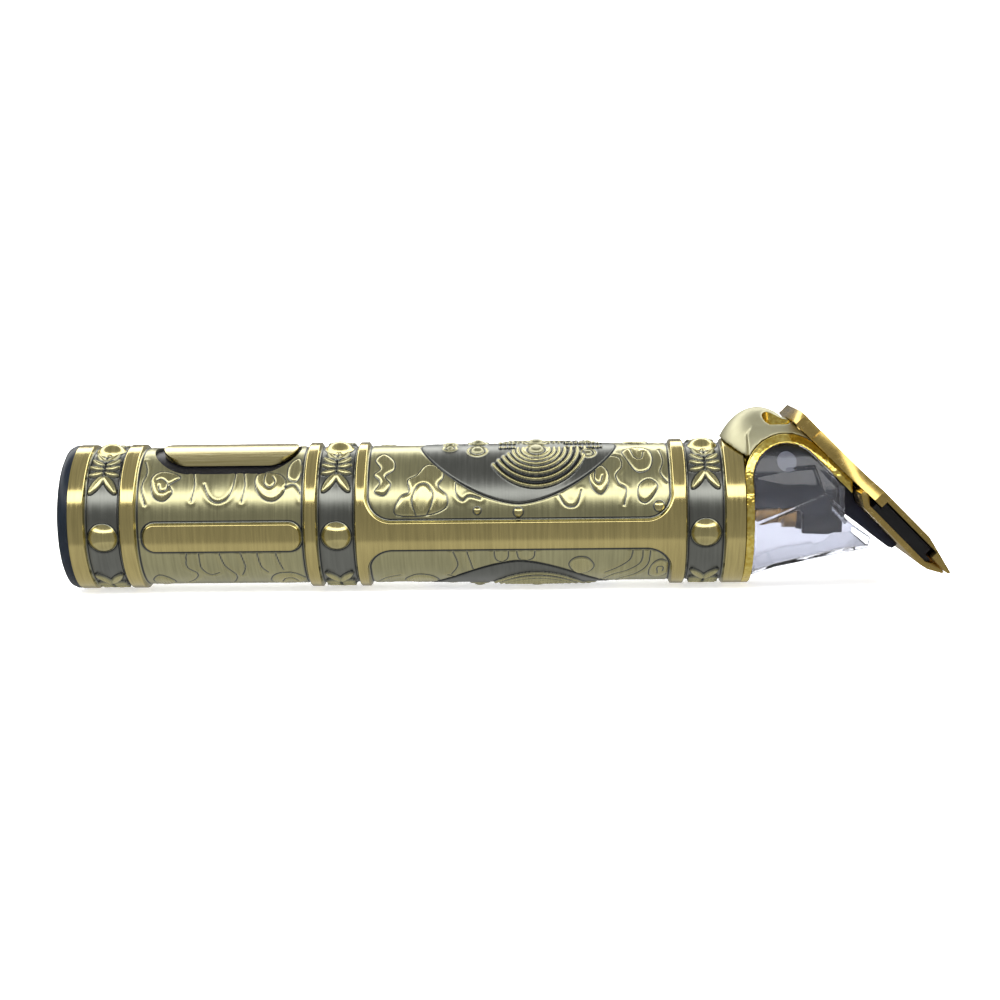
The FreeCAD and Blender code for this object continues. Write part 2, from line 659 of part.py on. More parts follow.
def make_seat():
    """The dark block inside the arches that takes the blade screws, and the cover's posts. A
    channel along its underside clears the cam, the driver and the spring's legs."""
    block = across("seat_block", [("arch_x-5.7", "1.6"), ("arch_x-5.7", "plenty/2"),
                                  ("arch_x+7.8", "plenty/2"), ("arch_x+7.8", "0.3"),
                                  ("arch_x+3.1", "0.3"), ("arch_x+1.8", "1.6")], "plenty")
    channel = crate("channel", ("arch_x-7", "-channel_half_width", "-2"),
                    ("arch_x+9", "channel_half_width", "channel_roof"))
    seat_arch = arch("seat_arch", "arch_radius-seat_gap")
    seat_egg = oval_bar("seat_egg", "egg_wide-2.1", "egg_tall-2.2")
    threads = screw_shapes("seat_screws", "0")
    place(threads, "blade_x", "blade_z", SIDEWAYS, "blade_angle")
    node(cut("seat", common("seat_mass", [block, seat_arch, seat_egg]), [threads, channel]),
         "blade_seat")

    posts = rod("posts", "-plenty", "plenty", "1.7", "arch_x", "arch_z+2.75", role="XZ_Plane")
    post_egg = oval_bar("post_egg", "egg_wide-1.4", "egg_tall-1.5")
    behind_posts = oval_bar("behind_posts", "egg_wide-2.1", "egg_tall-2.2")
    node(cut("pins", common("post_pair", [posts, post_egg]), [behind_posts]), "cover_pins")


# ---------------------------------------------------------------- blades and drive
def comb(name, start, end, gap, pitch, count):
    """The gaps between a blade's teeth, in the blade's frame."""
    first = "-%d*%s/2+%s/2" % (count, pitch, pitch)
    body = crate(name, (start, "%s-%s/2" % (first, gap), "-8"), (end, "%s+%s/2" % (first, gap), "2"))
    pattern = body.newObject("PartDesign::LinearPattern", name + "_row")
    pattern.Originals = [body.Tip]
    direction = next(item for item in body.Origin.OriginFeatures if item.Role == "Y_Axis")
    pattern.Direction = (direction, [""])
    pattern.setExpression("Length", bound("%d*%s" % (count - 1, pitch)))
    pattern.Occurrences = count
    body.Tip = pattern
    return body


def make_fixed_blade():
    """A ground plate: narrow screwed stem, T-shaped front, and a bevelled row of teeth."""
    profile = across("blade_profile", [
        ("-blade_back", "0"), ("bevel_start", "0"), ("blade_tip", "-tip_drop"),
        ("blade_tip-0.2", "0.05-blade_thick"), ("groove_end", "0.05-blade_thick"),
        ("groove_end", "-groove_roof"), ("groove_start", "-groove_roof"),
        ("groove_start", "-blade_thick"), ("-blade_back", "-blade_thick")], "blade_half_width")
    half = [("-blade_back", "9.2"), ("-blade_back+0.8", "10.6"), ("-3.3", "10.6"), ("-3.3", "11.6"),
            ("1", "12"), ("5", "13.2"), ("8", "15.6"), ("10.5", "blade_half_width"),
            ("blade_tip+1", "blade_half_width")]
    outline = half + [(along, "-(%s)" % side) for along, side in reversed(half)]
    plan = slab("blade_plan", "XY_Plane", outline, "-3", "4")
    gaps = comb("blade_gaps", "tooth_root", "blade_tip+2", "tooth_gap", "tooth_pitch", 29)
    holes = screw_shapes("blade_holes", "screw_clearance")
    node(cut("blade", common("blade_stock", [profile, plan]), [gaps, holes]), "fixed_blade", "blade")
    node(screw_shapes("screws_of_blade", "0"), "blade_screws", "blade")


def make_cutter():
    """The sliding comb: a lip that rubs under the plate, a lowered middle, and the teeth."""
    profile = across("cutter_profile", [
        ("8.4", "-2.35"), ("9.6", "-2.35"), ("10.9", "-3.4"), ("24.8", "-3.4"), ("26.6", "-2.3"),
        ("28.4", "-2.3"), ("28.4", "-2.75"), ("26", "-4.1"), ("24.6", "-4.4"), ("10.5", "-4.4"),
        ("8.4", "-3.1")], "cutter_half_width")
    gaps = comb("cutter_gaps", "cutter_root", "blade_tip+2", "cutter_gap", "cutter_pitch", 21)
    node(cut("cutter", profile, [gaps]), "moving_cutter", "blade")
    node(across("insert", [("11.6", "-3.38"), ("11.6", "-2.45"), ("groove_start+0.6", "-2.45"),
                           ("groove_start+0.6", "-groove_roof-0.2"),
                           ("groove_end-0.6", "-groove_roof-0.2"), ("groove_end-0.6", "-2.45"),
                           ("25.4", "-2.6"), ("24.7", "-3.38")], "insert_half_width"),
         "slide_insert", "blade")


def make_follower():
    """The driver bar under the cutter, with an upright slot for the eccentric pin. The slot
    is wide enough to clear the pin at every pairing of shaft angle and cutter position."""
    bar = across("follower_bar", [
        ("6.3", "-2.6"), ("8", "-2.6"), ("8", "-3.15"), ("10.4", "-4.4"), ("21.4", "-4.4"),
        ("21.3", "-5.5"), ("20.4", "-5.9"), ("16.9", "-6.3"), ("11.1", "-7.2"), ("9", "-7.2"),
        ("6.3", "-4.6")], "follower_half_width")
    place(bar, "blade_x", "blade_z", SIDEWAYS, "blade_angle")
    boss = crate("boss", ("boss_start", "-boss_half_width", "boss_foot"),
                 ("boss_end", "boss_half_width", "boss_top"))
    slot = crate("slot", ("boss_start-1", "-slot_half_width", "boss_foot-1"),
                 ("boss_end", "slot_half_width", "slot_top"))
    node(cut("follower", fuse("follower_mass", [bar, boss]), [slot]), "drive_follower")


def make_spring():
    """A bent wire whose root is held in the seat and whose two legs lie under the driver."""
    level = "-spring_depth"
    root_end = "spring_root+spring_bend"
    straight = "spring_side-spring_bend"
    wires = [rod("spring_back", "-(%s)" % straight, straight, "spring_wire", "spring_root", level,
                 role="XZ_Plane")]
    for side, sign, turn in (("near", -1, 180), ("far", 1, 90)):
        y = "%d*spring_side" % sign
        wires.append(rod("spring_leg_" + side, root_end, "spring_tip", "spring_wire", y, level))
        bend = doc.addObject("Part::Torus", "spring_bend_" + side)
        bend.setExpression("Radius1", bound("spring_bend"))
        bend.setExpression("Radius2", bound("spring_wire"))
        bend.Angle3 = 90
        bend.Placement = Placement(Vector(0, 0, 0), Rotation(Vector(0, 0, 1), turn))
        for axis, text in zip("xyz", (root_end, "%d*(%s)" % (sign, straight), level)):
            bend.setExpression("Placement.Base." + axis, bound(text))
        wires.append(bend)
    node(fuse("spring", wires), "pressure_spring", "blade")


def check_and_export():
    """Stop on any failed feature or bad shape, then write one file per node."""
    doc.recompute()
    for item in doc.Objects:
        if "Invalid" in item.State or "Error" in item.State:
            raise RuntimeError("feature failed: %s %s" % (item.Name, item.State))
    for item in NODES:
        shape = item.Shape
        if shape.isNull() or not shape.isValid() or not shape.Solids:
            raise RuntimeError("bad shape: " + item.Label)
    os.makedirs("parts", exist_ok=True)
    box = FreeCAD.BoundBox()
    for item in NODES:
        item.Shape.exportStep("parts/%s.step" % item.Label)
        box.add(item.Shape.BoundBox)
        print("%-20s solids %d  volume %9.2f mm3" % (item.Label, len(item.Shape.Solids), item.Shape.Volume))
    print("nodes", len(NODES), "box", box)


for make in (make_sleeve, make_switch, make_tail, make_power, make_motor, make_cam, make_hood,
             make_cover, make_seat, make_fixed_blade, make_cutter, make_follower, make_spring):
    make()
check_and_export()
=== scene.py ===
"""Looks of the cordless trimmer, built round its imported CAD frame."""
import json
import math

import bmesh
import bpy
import numpy as np
from mathutils import Matrix, Vector

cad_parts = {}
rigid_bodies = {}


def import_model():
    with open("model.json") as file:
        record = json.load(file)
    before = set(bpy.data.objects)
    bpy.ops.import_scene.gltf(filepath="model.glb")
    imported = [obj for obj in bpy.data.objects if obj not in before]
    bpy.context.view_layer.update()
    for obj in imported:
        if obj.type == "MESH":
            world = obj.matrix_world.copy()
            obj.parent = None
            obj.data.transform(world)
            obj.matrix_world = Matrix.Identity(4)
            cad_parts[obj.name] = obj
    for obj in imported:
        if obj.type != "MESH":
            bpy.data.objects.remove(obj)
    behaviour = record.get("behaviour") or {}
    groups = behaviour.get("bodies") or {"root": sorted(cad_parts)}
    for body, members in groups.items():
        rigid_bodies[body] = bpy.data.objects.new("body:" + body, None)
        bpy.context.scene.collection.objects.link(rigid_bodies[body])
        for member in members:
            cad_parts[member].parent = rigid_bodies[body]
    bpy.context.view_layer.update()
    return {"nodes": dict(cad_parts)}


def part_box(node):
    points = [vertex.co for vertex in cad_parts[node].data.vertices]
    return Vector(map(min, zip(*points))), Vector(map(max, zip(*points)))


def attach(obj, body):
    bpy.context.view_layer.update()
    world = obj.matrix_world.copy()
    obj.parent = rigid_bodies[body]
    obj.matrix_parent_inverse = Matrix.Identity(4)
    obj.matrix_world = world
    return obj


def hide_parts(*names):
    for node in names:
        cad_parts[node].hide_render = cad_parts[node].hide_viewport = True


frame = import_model()

# ------------------------------------------------------------------ handle sleeve
# One zinc casting, plated in brass and aged: the plain rings and side bars are polished,
# the panels are brushed round the handle, and black patina stays in every groove. It is made
# here in seven lengths, each a dense sheet rolled to a tube and raised where the relief stands.
# Sizes are in millimetres, along from the tail's end and up from the handle's axis.
MM = 0.001
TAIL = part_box("tail_cap")[0].x
AXIS = (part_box("motor_can")[0].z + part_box("motor_can")[1].z) / 2
SLEEVE_ROLL = math.radians(11.5)
BORE, PANEL, BAND = 11.7, 12.55, 13.25
CELL = 0.15             # side of one face of the sheet
WELD = 0.004                                   # points of a seam this close are one
QUARTER = math.radians(90) * PANEL

FLOWER_BANDS = [(5.0, 11.4), (46.55, 53.45), (112.35, 119.25)]
SWITCH_PANEL = (14.1, 44.35)
SWITCH_BAR = (29.55, 14.0, 2.52, 2.1)          # middle, half length, half height, corner
GRIP_WINDOW = (82.6, 27.25, 2.55, 4.6)         # middle, half length, foot height, corner
MEDALLION = (82.55, 17.6, 14.1, 1.65)          # middle, half length, half width, roundness

# how old the metal looks, which its material reads: 0 is polished and 1 is black
WORN, OLIVE, GUNMETAL, FIELD_AGE, SOOT, LINE_SOOT = 0.1, 0.34, 0.62, 0.66, 0.95, 0.97
BORE_AGE = 0.9
STEP_WIDE, GROOVE_WIDE, GROOVE_DEEP = 0.42, 0.22, 0.1

# one half of a palmette: root and tip of each leaf beside the stem, and its half width
LEAVES = [(0.0, 2.0, 0.0, 5.0, 0.6), (0.2, 1.9, 2.0, 4.3, 0.55), (0.2, 1.0, 2.5, 2.5, 0.52),
          (0.2, 0.1, 2.7, 0.7, 0.52), (0.2, -0.7, 2.7, -1.3, 0.56), (0.15, -1.5, 2.4, -4.9, 0.78)]
PALMETTE_ROOT = 12.9
LEAF_HIGH, LEAF_ROUND, LEAF_RIB, LEAF_SWELL = 0.62, 0.3, 0.45, 0.85
# the stud between two palmettes: part of a ball, with a groove round it
STUD_CENTRE, STUD_BALL, STUD_CROWN = 10.75, 3.15, 2.55
STUD_EDGE, STUD_GROOVE, STUD_REACH = 2.6, 2.78, 3.4

# raised clouds (closed) and engraved lines (open) above and below the side bars,
# as (distance from the tail, height round the sleeve from the middle of the bar)
CLOUDS_ABOVE = [
    [(57.0, 8.0), (58.7, 7.4), (59.7, 9.4), (58.7, 11.0), (60.3, 12.6), (60.1, 14.8),
     (58.3, 16.9), (56.9, 15.0), (57.9, 12.8), (56.8, 11.4), (57.9, 9.8)],
    [(60.7, 3.9), (61.6, 6.9), (63.1, 7.9), (62.9, 10.2), (64.5, 11.3), (66.2, 13.6),
     (68.7, 12.9), (69.1, 10.8), (68.2, 9.0), (69.7, 7.2), (69.5, 5.0), (66.0, 3.7)],
    [(95.2, 10.4), (96.0, 8.0), (97.4, 7.3), (98.5, 9.2), (98.4, 11.7), (97.0, 13.3), (95.8, 12.4)],
    [(101.3, 17.0), (102.3, 13.8), (103.8, 11.5), (105.7, 12.0), (106.5, 14.4), (105.9, 17.6),
     (103.8, 18.6)],
    [(103.9, 6.3), (104.1, 8.9), (105.8, 10.0), (107.2, 8.8), (106.6, 7.0), (105.2, 5.6)],
    [(17.0, 9.2), (17.6, 7.3), (19.3, 6.7), (20.7, 8.2), (20.2, 9.7), (22.0, 11.2), (20.4, 12.3),
     (18.2, 12.5), (16.9, 11.2)],
    [(35.8, 11.6), (35.7, 9.2), (36.9, 7.1), (38.9, 6.5), (40.6, 7.9), (41.0, 10.2), (39.8, 11.7),
     (37.6, 12.0)],
    [(41.3, 11.0), (41.6, 14.3), (43.1, 15.6), (43.7, 12.6), (42.9, 10.2)],
]
CLOUD_HIGH, CLOUD_CUT = 0.24, 0.12
LINES_ABOVE = [
    [(64.3, 3.7), (63.6, 6.2), (64.5, 8.9), (66.2, 9.3), (67.3, 7.5), (67.0, 5.4), (66.3, 3.9)],
    [(71.4, 9.6), (71.5, 7.4), (72.6, 6.3), (73.8, 7.1), (75.8, 6.6)],
    [(89.6, 7.4), (90.9, 5.2), (92.9, 5.3), (93.7, 7.9)],
    [(96.3, 12.0), (96.1, 10.0), (97.0, 9.2), (97.5, 10.7)],
    [(99.2, 15.8), (100.7, 15.0), (101.0, 12.8), (99.9, 11.0), (100.4, 9.2), (101.7, 8.0),
     (101.3, 5.2)],
    [(102.7, 17.4), (103.3, 15.0), (104.5, 14.5), (105.0, 16.4)],
    [(107.9, 17.4), (108.4, 14.0), (107.8, 11.4), (109.0, 9.4)],
    [(18.3, 9.6), (18.6, 8.5), (19.6, 8.6), (19.8, 9.9), (18.7, 10.9), (17.9, 10.6)],
    [(26.4, 9.8), (27.3, 7.3), (28.9, 6.3), (30.7, 7.1), (31.6, 9.3), (31.9, 12.0)],
    [(37.3, 11.6), (37.2, 9.8), (38.2, 8.9), (39.1, 10.0), (38.6, 11.2)],
    [(40.9, 9.0), (42.4, 9.6), (43.5, 8.3), (43.9, 6.6)],
    [(24.4, 12.0), (24.7, 9.5), (24.2, 6.6)], [(33.4, 12.2), (33.7, 9.4), (33.2, 6.4)],
    [(15.2, 15.2), (15.9, 12.4), (15.2, 9.4), (15.9, 6.0)],
]
CLOUDS_BELOW = [
    [(61.8, 11.7), (63.9, 9.5), (66.7, 10.1), (67.8, 12.4), (66.5, 13.8), (63.3, 13.6)],
    [(91.5, 6.7), (92.6, 4.9), (94.7, 4.9), (95.9, 6.9), (95.0, 8.9), (92.9, 9.5)],
    [(106.0, 10.6), (106.2, 7.2), (107.8, 5.5), (109.3, 6.6), (109.3, 9.4), (107.9, 11.2)],
    [(15.9, 10.7), (17.2, 8.9), (18.9, 10.0), (19.7, 12.2), (18.0, 13.9), (16.3, 12.9)],
    [(37.3, 12.2), (38.0, 9.4), (40.0, 8.3), (42.4, 8.9), (43.9, 11.4), (41.6, 13.4), (39.0, 13.4)],
]
LINES_BELOW = [
    [(56.4, 14.2), (58.2, 11.0), (61.0, 9.6)], [(57.0, 16.6), (59.5, 13.0), (61.6, 12.4)],
    [(70.7, 3.2), (71.5, 6.4), (70.2, 9.5)],
    [(73.2, 3.3), (74.0, 6.8), (74.2, 9.4), (71.8, 10.8), (69.6, 9.6)],
    [(78.1, 3.0), (78.3, 5.0), (79.4, 5.8), (80.5, 4.9), (80.6, 3.0)],
    [(82.1, 3.0), (82.5, 5.0), (83.8, 5.5), (85.1, 4.8), (85.4, 3.0)],
    [(104.7, 3.0), (104.3, 6.2), (102.0, 8.6), (99.4, 10.2), (97.2, 13.4)],
    [(106.0, 3.2), (105.6, 6.8), (103.7, 9.7), (100.9, 12.2), (99.6, 15.8)],
    [(102.9, 3.0), (102.4, 5.4), (100.4, 7.5), (98.0, 9.3)],
    [(107.4, 9.4), (107.3, 7.4), (108.3, 7.3), (108.3, 8.6)],
    [(22.9, 3.2), (22.7, 6.4), (24.3, 8.4), (23.6, 10.6), (22.0, 12.6)],
    [(25.1, 3.2), (25.2, 6.6), (26.6, 8.8), (28.3, 8.2)],
    [(28.8, 3.2), (29.6, 6.2), (31.3, 9.2), (30.4, 12.8)],
    [(32.6, 3.2), (33.2, 6.4), (32.4, 9.0)],
    [(35.6, 3.2), (36.1, 6.4), (37.2, 8.2)], [(38.9, 3.2), (39.5, 5.6), (40.0, 7.4)],
    [(39.4, 11.8), (40.0, 10.3), (41.4, 10.0), (42.2, 11.4)],
]
LINE_DEEP, LIP_HIGH = 0.13, 0.07
PEARLS = [(82.5, 4.1, 0.8), (107.5, 4.9, 0.9), (75.2, 4.4, 0.6)]
PEARL_HIGH, SEAM_HIGH, HIGHEST = 0.45, 0.12, 13.9

# bosses of the medallions: (from the middle, from the centre line, radius)
BOSSES = [(-7.4, 2.4, 1.25), (3.2, 2.2, 1.5), (-12.4, 1.2, 0.7), (12.6, 3.4, 0.8)]
BOSS_ROUND, BOSS_TOP, COLLAR_HIGH = 0.62, 0.75, 0.3
SHELL_CENTRE, SHELL_REACH, SHELL_HIGH = (3.2, 2.2), 9.4, 0.5
SHELL_RIDGES = [2.4, 3.3, 4.2, 5.2, 6.3, 7.5, 8.8]
BEAD_ROWS = [(8.2, 15.2), (-3.6, -0.4)]
BEAD_LINE, BEAD_PITCH, BEAD_SIZE, BEAD_HIGH = 1.15, 0.8, 0.3, 0.34
FIELD_HIGH, FIELD_GROOVE, FIELD_SCALE = 0.16, 0.14, 12.0


def rise(distance, width):
    """A smooth step from 0 to 1 as the signed distance crosses zero."""
    t = np.clip(distance / width + 0.5, 0, 1)
    return t * t * (3 - 2 * t)


def trace(distance, width):
    """A narrow bump round zero distance: the section of an engraved line."""
    return np.exp(-(distance / width) ** 2)


def box_depth(along, across, corner):
    """How deep a point lies inside a rounded box, from its offsets past the corner centres."""
    return corner - np.hypot(np.maximum(along, 0), np.maximum(across, 0)) \
        - np.minimum(np.maximum(along, across), 0)


def smooth_line(points, closed):
    """A smooth line through a few points, closed on itself for a cloud's outline."""
    knots = np.array(points, float)
    ends = (knots[-1:], knots[:2]) if closed else (knots[:1], knots[-1:])
    knots = np.vstack([ends[0], knots, ends[1]])
    t = np.linspace(0, 1, 7)[:-1, None]
    line = [knots[i + 1] + 0.5 * t * (knots[i + 2] - knots[i]
            + t * (2 * knots[i] - 5 * knots[i + 1] + 4 * knots[i + 2] - knots[i + 3]
                   + t * (3 * (knots[i + 1] - knots[i + 2]) + knots[i + 3] - knots[i])))
            for i in range(len(knots) - 3)]
    return np.vstack(line + [knots[-2:-1]])


def along_line(x, up, line, closed=False):
    """Distance from each point to a line, negative outside a closed one; 9 is out of reach."""
    reach = 1.5
    depth = np.full(len(x), -9.0 if closed else 9.0)
    low, high = line.min(0) - reach, line.max(0) + reach
    near = np.flatnonzero((x > low[0]) & (x < high[0]) & (up > low[1]) & (up < high[1]))
    px, pu = x[near], up[near]
    best, inside = np.full(len(near), 9.0), np.zeros(len(near), bool)
    for (ax, au), (bx, bu) in zip(line[:-1], line[1:]):
        dx, du = bx - ax, bu - au
        t = np.clip(((px - ax) * dx + (pu - au) * du) / (dx * dx + du * du + 1e-12), 0, 1)
        best = np.minimum(best, np.hypot(px - ax - t * dx, pu - au - t * du))
        if closed and du:
            inside ^= ((au > pu) != (bu > pu)) & (px < ax + (pu - au) / du * dx)
    depth[near] = np.where(inside, best, -best) if closed else best
    return depth


def raise_leaves(across, side, radius, age):
    """A flower band's face with its palmettes raised on it, each leaf ribbed and edged."""
    u, w = np.abs(across), side - PALMETTE_ROOT
    for x0, w0, x1, w1, half in LEAVES:
        length = math.hypot(x1 - x0, w1 - w0)
        ex, ew = (x1 - x0) / length, (w1 - w0) / length
        t = ((u - x0) * ex + (w - w0) * ew) / length
        off = (u - x0) * ew - (w - w0) * ex
        wide = half * np.sqrt(np.sin(np.pi * np.clip(t, 0, 1) ** LEAF_SWELL))
        depth = np.where((t > 0) & (t < 1), wide - np.abs(off),
                         -np.hypot(off, np.where(t < 0, t, t - 1) * length))
        ribbed = 1 - LEAF_RIB * np.abs(off) / half
        crest = PANEL + LEAF_HIGH * rise(depth, LEAF_ROUND) * ribbed
        radius = np.maximum(radius, np.where(depth > -0.15, crest, 0))
        leaf = rise(depth, 0.16)
        edge = trace(depth + 0.12, 0.13)
        bloom = 0.4 - 0.2 * rise(depth - 0.25, 0.3)
        age = np.maximum(age * (1 - leaf) + bloom * leaf, LINE_SOOT * edge * (1 - leaf))
    return radius, age


def raise_stud(distance, radius, age):
    """The face round a stud, which stands in a black groove of its own."""
    ball = STUD_BALL ** 2 - np.minimum(distance, STUD_CROWN) ** 2
    button = STUD_CENTRE + np.sqrt(np.maximum(ball, 0))
    on = rise(STUD_EDGE - distance, 0.2)
    ring = trace(distance - STUD_GROOVE, 0.17)
    radius = np.maximum(button, PANEL) * on + (radius - GROOVE_DEEP * ring) * (1 - on)
    age = np.maximum(WORN * on + age * (1 - on), LINE_SOOT * ring * (1 - on))
    return radius, age


def medallion_relief(along, over):
    """Height (mm) and age of the shell, bosses and beads that stand in a medallion."""
    lift, tone = np.zeros(len(along)), np.full(len(along), FIELD_AGE)
    shell = np.hypot(along - SHELL_CENTRE[0], over - SHELL_CENTRE[1])
    fan = rise(SHELL_REACH - shell, 0.3) * rise(over - 1.2, 1.2)
    fan = fan * rise(along + 0.9 * over - 1.0, 1.0)
    for ridge in SHELL_RIDGES:
        crest = trace(shell - ridge, 0.3) * fan
        lift = np.maximum(lift, SHELL_HIGH * crest)
        tone = np.minimum(tone, FIELD_AGE - 0.48 * crest)
    tone = np.maximum(tone, 0.9 * fan * (lift < 0.12) * (shell > 1.7))
    for boss_along, boss_over, size in BOSSES:
        d = np.hypot(along - boss_along, over - boss_over)
        dome = BOSS_ROUND * size * np.sqrt(np.maximum(1 - (d / size) ** 2, 0))
        collar = trace(d - size - 0.5, 0.2)
        lift = np.maximum(lift, np.minimum(dome, BOSS_TOP))
        lift = np.maximum(lift, COLLAR_HIGH * collar)
        gap = trace(d - size - 0.12, 0.14)
        ringed = np.maximum(tone * (1 - collar) + 0.2 * collar, SOOT * gap)
        tone = np.where(d < size, 0.42, ringed)
    step = (along + BEAD_PITCH / 2) % BEAD_PITCH - BEAD_PITCH / 2
    bead = np.hypot(step, over - BEAD_LINE)
    row = np.zeros(len(along), bool)
    for first, last in BEAD_ROWS:
        row |= (along > first) & (along < last)
    lift = np.where(row, np.maximum(lift, BEAD_HIGH * rise(BEAD_SIZE - bead, 0.25)), lift)
    beaded = row & (np.abs(over - BEAD_LINE) < 0.5)
    return lift, np.where(beaded, np.where(bead < BEAD_SIZE, 0.2, 0.9), tone)


def engrave(x, height, clouds, lines, panel, radius, age):
    """The panels' face with soft clouds raised and thin lines cut, at a height from the bar."""
    for points in clouds:
        depth = along_line(x, height, smooth_line(points, True), True)
        puff = rise(depth - 0.2, 0.9)
        edge = trace(depth + 0.05, 0.12)
        radius = radius + np.where(panel, CLOUD_HIGH * puff - CLOUD_CUT * edge, 0)
        age = np.where(panel, np.maximum(age - 0.1 * puff, SOOT * edge), age)
    for points in lines:
        depth = along_line(x, height, smooth_line(points, False))
        cut, lip = trace(depth, 0.12), trace(depth - 0.55, 0.4)
        radius = radius + np.where(panel, LIP_HIGH * lip - LINE_DEEP * cut, 0)
        age = np.where(panel, np.maximum(age - 0.05 * lip, SOOT * cut), age)
    return radius, age


def sleeve_face(x, turn):
    """Radius (mm) and age (0 polished, 0.6 gunmetal, 1 black) of the sleeve's face at x mm
    from the tail and turn degrees up from the near side bar. Both sides are mirror images."""
    up = np.radians(90 - np.abs((turn + 90) % 360 - 180)) * PANEL
    side = np.abs(up)
    flower = np.max([np.minimum(x - a, b - x) for a, b in FLOWER_BANDS], axis=0)
    middle, half, height, corner = SWITCH_BAR
    bar = box_depth(np.abs(x - middle) - half + corner, side - height + corner, corner)
    switch = np.minimum(x - SWITCH_PANEL[0], SWITCH_PANEL[1] - x)
    middle, half, height, corner = GRIP_WINDOW
    grip = box_depth(np.abs(x - middle) - half + corner, height + corner - side, corner)
    sunk = np.max([flower, np.minimum(switch, -bar), grip], axis=0)
    radius = BAND - (BAND - PANEL) * rise(sunk, STEP_WIDE)
    foot = trace(sunk - STEP_WIDE, GROOVE_WIDE)
    radius -= GROOVE_DEEP * foot
    age = np.where(flower > 0, GUNMETAL, OLIVE) * rise(sunk - 0.1, 0.25)
    age = np.maximum(age, SOOT * foot)

    for a, b in FLOWER_BANDS:
        across = x - (a + b) / 2
        here = np.flatnonzero(np.abs(across) < (b - a) / 2)
        radius[here], age[here] = raise_leaves(across[here], side[here], radius[here], age[here])
        for lift in (0.0, QUARTER):
            d = np.hypot(across, side - lift)
            stud = np.flatnonzero(d < STUD_REACH)
            radius[stud], age[stud] = raise_stud(d[stud], radius[stud], age[stud])

    middle, half, wide, power = MEDALLION
    m, b = x - middle, QUARTER - side
    field = 1 - ((np.abs(m) / half) ** power + (np.maximum(b, 0) / wide) ** power) ** (1 / power)
    field *= FIELD_SCALE
    inside = rise(field, 0.25)
    groove = trace(field + 0.06, 0.16)
    radius += FIELD_HIGH * inside * (grip > 0) - FIELD_GROOVE * groove * (grip > 0)
    rim = np.maximum(age * (1 - inside) + FIELD_AGE * inside, LINE_SOOT * trace(field + 0.02, 0.17))
    age = np.where((grip > 0) & (field > -1), rim, age)
    here = np.flatnonzero(field > 0.3)
    lift, age[here] = medallion_relief(m[here], b[here])
    radius[here] += lift

    panel = (sunk > 0.75) & (flower < 0) & (field < -0.3)
    radius, age = engrave(x, up, CLOUDS_ABOVE, LINES_ABOVE, panel, radius, age)
    radius, age = engrave(x, -up, CLOUDS_BELOW, LINES_BELOW, panel, radius, age)
    for pearl_x, pearl_up, size in PEARLS:
        d = np.hypot(x - pearl_x, up - pearl_up)
        pearl = PEARL_HIGH * np.sqrt(np.maximum(1 - (d / size) ** 2, 0))
        radius += np.where(d < size, pearl, 0)
        gap = LINE_SOOT * trace(d - size - 0.1, 0.13)
        age = np.where(d < size + 0.4, np.maximum(np.where(d < size, 0.12, age), gap), age)
    seam = trace(up, 0.1) * ((flower > 0.2) | (np.minimum(switch, -bar) > 0.2))
    plain = (radius < PANEL + 0.2) & (sunk > 0)
    radius = np.where(plain, radius + SEAM_HIGH * seam, radius)
    return np.minimum(radius, HIGHEST), np.clip(age, 0, 1)


def from_handle(x, y, z):
    """A point of the handle's own upright frame (mm), carried to its turned place (m)."""
    c, s = math.cos(SLEEVE_ROLL), math.sin(SLEEVE_ROLL)
    return TAIL + x * MM, (y * c - z * s) * MM, AXIS + (y * s + z * c) * MM


def points_of(mesh):
    """Every point of a mesh, as the rows of an array."""
    co = np.empty(len(mesh.vertices) * 3, np.float32)
    mesh.vertices.foreach_get("co", co)
    return co.reshape(-1, 3)


def sleeve_length(name, start, end, cell):
    """One length of the sleeve: a sheet rolled to a tube, raised in relief, closed by its bore."""
    bm = bmesh.new()
    rows = round((end - start) / cell)
    columns = round(2 * math.pi * BAND / cell)
    bmesh.ops.create_grid(bm, x_segments=rows, y_segments=columns, size=0.5)
    mesh = bpy.data.meshes.new(name)
    bm.to_mesh(mesh)
    unit = points_of(mesh).astype(float)
    x = start + (unit[:, 0] + 0.5) * (end - start)
    turn = (unit[:, 1] + 0.5) * 360 - 180
    radius, _ = sleeve_face(x, turn)
    angle = np.radians(turn)
    px, py, pz = from_handle(x, -radius * np.cos(angle), radius * np.sin(angle))
    mesh.vertices.foreach_set("co", np.column_stack([px, py, pz]).astype(np.float32).ravel())
    bm.clear()
    bm.from_mesh(mesh)
    seam = [v for v in bm.verts if v.is_boundary]
    bmesh.ops.remove_doubles(bm, verts=seam, dist=WELD * MM)
    rims = [e for e in bm.edges if e.is_boundary]
    for e in rims:
        e.smooth = False
    made = bmesh.ops.extrude_edge_only(bm, edges=rims)["geom"]
    for v in [g for g in made if isinstance(g, bmesh.types.BMVert)]:
        away = math.hypot(v.co.y, v.co.z - AXIS)
        v.co.y *= BORE * MM / away
        v.co.z = AXIS + (v.co.z - AXIS) * BORE * MM / away
    bore = [g for g in made if isinstance(g, bmesh.types.BMEdge)]
    for e in bore:
        e.smooth = False
    bmesh.ops.bridge_loops(bm, edges=bore)
    bmesh.ops.recalc_face_normals(bm, faces=bm.faces)
    for f in bm.faces:
        f.smooth = True
    bm.to_mesh(mesh)
    bm.free()
    return mesh


